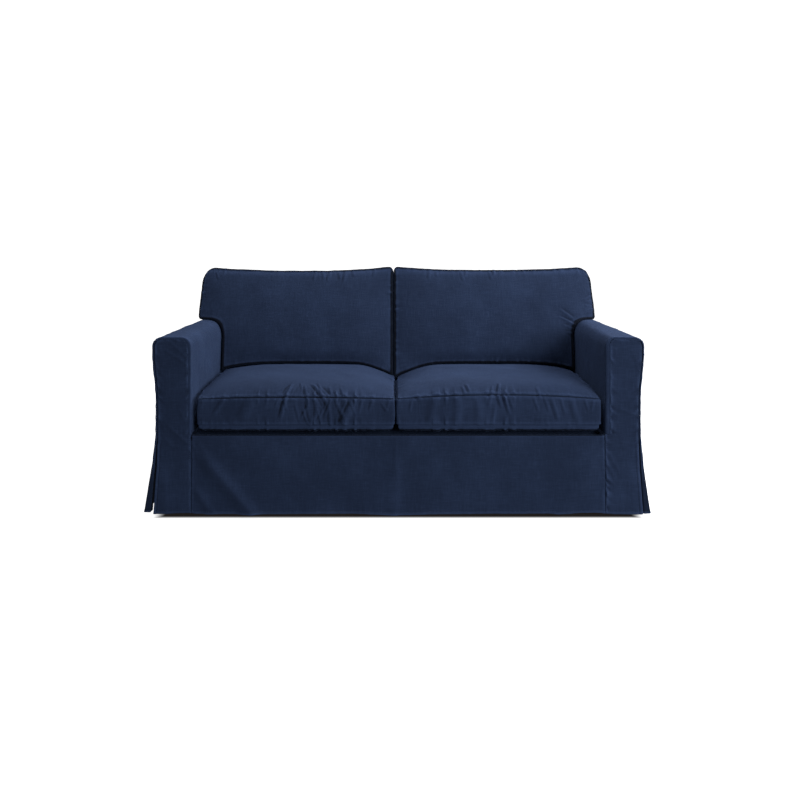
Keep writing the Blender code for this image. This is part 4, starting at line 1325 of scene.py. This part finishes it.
# %% Seat cushions
def make_seat_cushion(side, hand):
    low, high = SEAT_SPANS[side]
    width, depth, tall = high - low, SEAT_REAR - SEAT_FRONT, SEAT_UPPER - SEAT_LOWER
    us, ws = np.array(spaced(0.0, width, 0.0058)), np.array(spaced(0.0, tall, 0.0084))
    # finer over the front, where the top is seen
    rear = np.linspace(0.185, depth - CLEAR, 30)
    vs = np.array([*spaced(0.0, depth, 0.0085)[:22], *rear, depth - BESIDE, depth])
    index, squares, kinds = closed_grid(us, vs, len(ws))
    u, v, w = us[index[:, 0]], vs[index[:, 1]], ws[index[:, 2]]
    below, on_top = index[:, 2] == 0, index[:, 2] == len(ws) - 1
    across, back, up = 2 * u / width - 1, 2 * v / depth - 1, w / tall
    inside = np.minimum(np.minimum(u, width - u), np.minimum(v, depth - v))
    rim = inside < NEAR
    swell = SEAT_DRAWN_IN * (1 - np.abs(2 * up - 1) ** 2.4)
    pull = np.where(rim, swell - SEAT_DRAWN_IN, -SEAT_DRAWN_IN * np.exp(-inside / 0.03))
    pull = pull - 0.004 * np.abs(across * back) ** 40
    y = (SEAT_FRONT + SEAT_REAR) / 2 + back * (depth / 2 + pull * np.abs(back) ** 12)
    ends = seat_ends(side, y)
    x = sum(ends) / 2 + across * ((ends[1] - ends[0]) / 2 + pull * np.abs(across) ** 12)
    seam_top = seat_top(side, across, back)
    under = SEAT_UNDERSIDE + 0.0045 * (1 - smooth(0.0, 0.08, inside))
    under += (SEAT_LOWER - under) * (1 - np.sqrt(1 - (1 - np.clip(inside / 0.024, 0, 1)) ** 2))
    border = SEAT_LOWER + (seam_top - SEAT_LOWER) * up
    z = np.where(rim, border, np.where(below, under, seam_top))
    for end, way in zip(ends, (-1, 1)):
        centre = (-SEAT_ROUND * way, SEAT_UNDERSIDE + SEAT_ROUND_UP)
        bent, z = bend_corner(x - end, z, centre, (way, -1), SEAT_ROUND)
        x = bent + end
    to_ends, to_front = np.minimum(u, width - u), np.minimum(v, depth - v)
    under_edge = np.where(below & (inside > 0.006), -1.0, w)  # -1 where no light comes
    values = {
        "seam": np.where(rim, np.minimum(w, tall - w), inside),
        "along": np.where(to_front < to_ends, u, v),
        "x_flat": u + low,
        "unrolled": np.where(on_top, tall + v, under_edge),
        "front": (v < NEAR) | on_top,
        # painted highlight along the upright corners of the border
        "upright": np.where(rim, bell(np.maximum(to_ends, to_front), 0.005), 0.0),
        "pale": (rim & (up < 0.5)) | below,
    }
    name = f"seat_cushion_{hand}"
    places = np.stack([x, y, z], -1)
    piece = filled_form(name + "_cloth", places, squares, kinds, (u, v, w), values)
    wrinkles, seed = SEAT_WRINKLES[side], 134 + 3 * side
    dress_cushion(piece, wrinkles, seed, **SEAT_LOOK, painted_light=SEAT_PAINTED_LIGHT[side])
    beside = on_top & (np.abs(inside - BESIDE) < NEAR)
    runs = [np.flatnonzero(beside & (index[:, 1] == 1))]
    runs += [np.flatnonzero(beside & (index[:, 0] == column)) for column in (1, len(us) - 2)]
    runs = [run[np.argsort(order[run])] for run, order in zip(runs, (u, v, v))]
    places = read(piece.data.vertices, "co", 3)
    sew(name + "_stitches", [places[run] for run in runs], 81 + side)
    places[:, 2] = np.maximum(places[:, 2], SEAT_UNDERSIDE + 0.0001)
    move_points(piece.data, places)
    finish_cushion(piece, name)


for side, hand in HANDS:
    make_seat_cushion(side, hand)

# %% [markdown]
# ## The back cushions
# Each back cushion is boxed, too. Its upper part reaches over the arm as an ear, and the corner
# below the ear is left out. It leans on the inside back and stands on the seat cushion.

# %% Measures and wrinkles of the back cushions
CUSHION_TOP, CUSHION_TILT, CUSHION_EAR = 0.8935, 0.040, {-1: 0.898, 1: 0.888}
CUSHION_DIP = {-1: 0.021, 1: 0.018}
CUSHION_NOTCH, CUSHION_MIDDLE, CUSHION_PART = ARM_INSIDE - 0.0010, -0.0200, 0.0012
CUSHION_FACE, CUSHION_LINE, CUSHION_CROWN = 0.030, 0.440, 0.034
CUSHION_THICK, CUSHION_FOOT = 0.120, 0.440
EAR_FOOT = ARM_TOP + 0.0012
EAR_ROUND, EAR_TURN, PART_ROUND, NOTCH_ROUND = 0.080, 0.014, 0.024, 0.078  # radii of its corners
CUSHION_LOOK = {"gather": 0.0075, "line": 0.0100, "edge": 0.35, "dark": 2.2}
# painted shade on the front of the right back cushion
CUSHION_PAINTED_LIGHT = {-1: 0.0, 1: -0.07}
BACK_WRINKLES = {
    -1: in_metres((
        (-3620, 8840, -3680, 8500, 40, 60, 26), (-3330, 8860, -3270, 8560, 40, 60, 22),
        (-2980, 8860, -3060, 8460, 50, 60, 29), (-2620, 8840, -2540, 8520, 40, 60, 24),
        (-2280, 8840, -2360, 8420, 50, 60, 29), (-2000, 8860, -1920, 8620, 40, 60, 22),
        (-1000, 8860, -1040, 8580, 40, 60, 20), (-8200, 8720, -8060, 8460, 50, 60, 19),
    )),
    1: in_metres((
        (1440, 8860, 1390, 8520, 40, 60, 22), (1700, 8860, 1760, 8600, 40, 60, 17),
        (2830, 8860, 2900, 8480, 50, 60, 23), (3080, 8860, 3020, 8600, 40, 60, 19),
        (4100, 8860, 4160, 8500, 50, 60, 22), (4320, 8860, 4260, 8620, 40, 60, 17),
        (7520, 6720, 7180, 6960, 40, 60, 22), (7570, 6520, 7180, 6650, 40, 60, 23),
        (7560, 6300, 7260, 6360, 40, 60, 19), (7560, 6060, 7320, 6050, 40, 60, 14),
        (8760, 7600, 8480, 7480, 40, 60, 16), (8760, 7360, 8500, 7320, 40, 60, 16),
        (8760, 7120, 8460, 7160, 40, 60, 16),
    )),
}


def seat_under(side, x, y):
    """Height of the seat cushion's top below a place."""
    low, high = seat_ends(side, y)
    across = np.clip((2 * x - low - high) / (high - low), -1, 1)
    depth = np.clip((2 * y - SEAT_FRONT - SEAT_REAR) / (SEAT_REAR - SEAT_FRONT), -1, 1)
    return seat_top(side, across, depth)


print("wrinkles:", [len(table) for table in BACK_WRINKLES.values()])

# %% Back cushions
def make_back_cushion(side, hand):
    inner, ear = CUSHION_PART + side * CUSHION_MIDDLE, CUSHION_EAR[side]
    tall, width = CUSHION_TOP - CUSHION_FOOT, ear - inner
    us = np.array(spaced(inner, CUSHION_NOTCH, 0.0100) + spaced(CUSHION_NOTCH, ear, 0.0100)[1:])
    below_ear = spaced(CUSHION_FOOT, EAR_FOOT, 0.0120)
    vs = np.array(below_ear + spaced(EAR_FOOT, CUSHION_TOP, 0.0080)[1:])
    ws = np.array(spaced(0.0, CUSHION_THICK, 0.0112))
    notch_column = int(np.argmin(np.abs(us - CUSHION_NOTCH)))
    notch_row = int(np.argmin(np.abs(vs - EAR_FOOT)))

    def left_out(i, j):
        return i >= notch_column and j < notch_row

    index, squares, kinds = closed_grid(us, vs, len(ws), left_out)
    u, v, w = us[index[:, 0]], vs[index[:, 1]], ws[index[:, 2]]
    across, up, deep = 2 * (u - inner) / width - 1, (v - CUSHION_FOOT) / tall, w / CUSHION_THICK
    bump = (1 - np.abs(across) ** 5) * (1 - np.abs(2 * up - 1) ** 2.6)
    # distance to the outline on a face
    sides = np.where(v < EAR_FOOT - NEAR, CUSHION_NOTCH - u, ear - u)
    beside_notch = np.hypot(np.maximum(0, CUSHION_NOTCH - u), np.maximum(0, v - EAR_FOOT))
    below = np.where(u > CUSHION_NOTCH + NEAR, v - EAR_FOOT, beside_notch)
    below = np.where(v > EAR_FOOT - NEAR, below, 9.0)
    edge = np.minimum.reduce([u - inner, sides, v - CUSHION_FOOT, CUSHION_TOP - v, below])
    edge = np.maximum(edge, 0.0)
    rim = edge < NEAR
    on_face = ((index[:, 2] == 0) | (index[:, 2] == len(ws) - 1)) & (edge > NEAR)
    # the outline: leaning ear, rounded corners, a dip along the top
    x, z = u - 0.005 * smooth(0.69, 0.86, v) * smooth(CUSHION_NOTCH, ear, u), v
    for place, height, way, radius, fade in (
        (ear - 0.005, CUSHION_TOP, (1, 1), EAR_ROUND, 0.0),
        (ear, EAR_FOOT, (1, -1), EAR_TURN, 0.0),
        (inner, CUSHION_TOP, (-1, 1), PART_ROUND, 0.0),
        (CUSHION_NOTCH, EAR_FOOT, (-1, 1), NOTCH_ROUND, 0.090),
    ):
        centre = (place - way[0] * radius, height - way[1] * radius)
        x, z = bend_corner(x, z, centre, way, radius, fade)
    flatter = np.where(across > 0, 2.0, 3.0)
    dip = CUSHION_DIP[side] * up**6 * (1 - np.abs(across) ** flatter)
    z = z - dip - CUSHION_TILT * up**6 * deep
    # the foot lies on the seat cushion
    y_foot = CUSHION_FACE + CUSHION_CROWN + CUSHION_THICK * deep
    lift = seat_under(side, side * x, y_foot) + 0.002 - CUSHION_FOOT
    z = z + lift * (1 - smooth(0.0, 0.22, up))
    front = CUSHION_FACE + BACK_RAKE * (z - CUSHION_LINE)
    rear = back_face(z) - 0.0012
    seam_y = front + CUSHION_CROWN * (1 - bump)
    y = seam_y + (rear - seam_y) * deep
    # the border stands out a little between its two seams, and the parting is not straight
    round_border = (1 - (2 * deep - 1) ** 2) * rim
    x += 0.0035 * round_border * smooth(CUSHION_NOTCH, ear, x)
    x -= 0.0008 * round_border * (u < inner + NEAR)
    x += side * 0.0035 * np.sin(deep * math.pi) * np.exp(-(u - inner) / 0.02)
    share = np.clip(np.minimum(x / CUSHION_NOTCH, (ear - x) / (ear - CUSHION_NOTCH)), 0.0, 1.0)
    x = side * (x + (arm_inner(y) - ARM_INSIDE - 0.0045) * share)
    seam = np.where(on_face, edge, np.minimum(w, CUSHION_THICK - w))
    nearest_up = np.minimum(v - CUSHION_FOOT, CUSHION_TOP - v)
    squares = squares if side > 0 else squares[:, ::-1]
    values = {
        "seam": seam,
        "along": np.where(nearest_up < np.minimum(u - inner, ear - u), u, v),
        "x_flat": side * u,
        "unrolled": v,
        "front": index[:, 2] == 0,
        # painted highlight: a pale band below the top edge of the front face
        "upright": 1.2 * bell(CUSHION_TOP - v - 0.018, 0.013) * (index[:, 2] == 0),
        "pale": 0 * u,
    }
    name = f"back_cushion_{hand}"
    places = np.stack([x, y, z], -1)
    piece = filled_form(name + "_cloth", places, squares, kinds, (u, v, w), values)
    wrinkles, seed = BACK_WRINKLES[side], 154 + 3 * side
    dress_cushion(piece, wrinkles, seed, **CUSHION_LOOK, painted_light=CUSHION_PAINTED_LIGHT[side])
    finish_cushion(piece, name)


for side, hand in HANDS:
    make_back_cushion(side, hand)
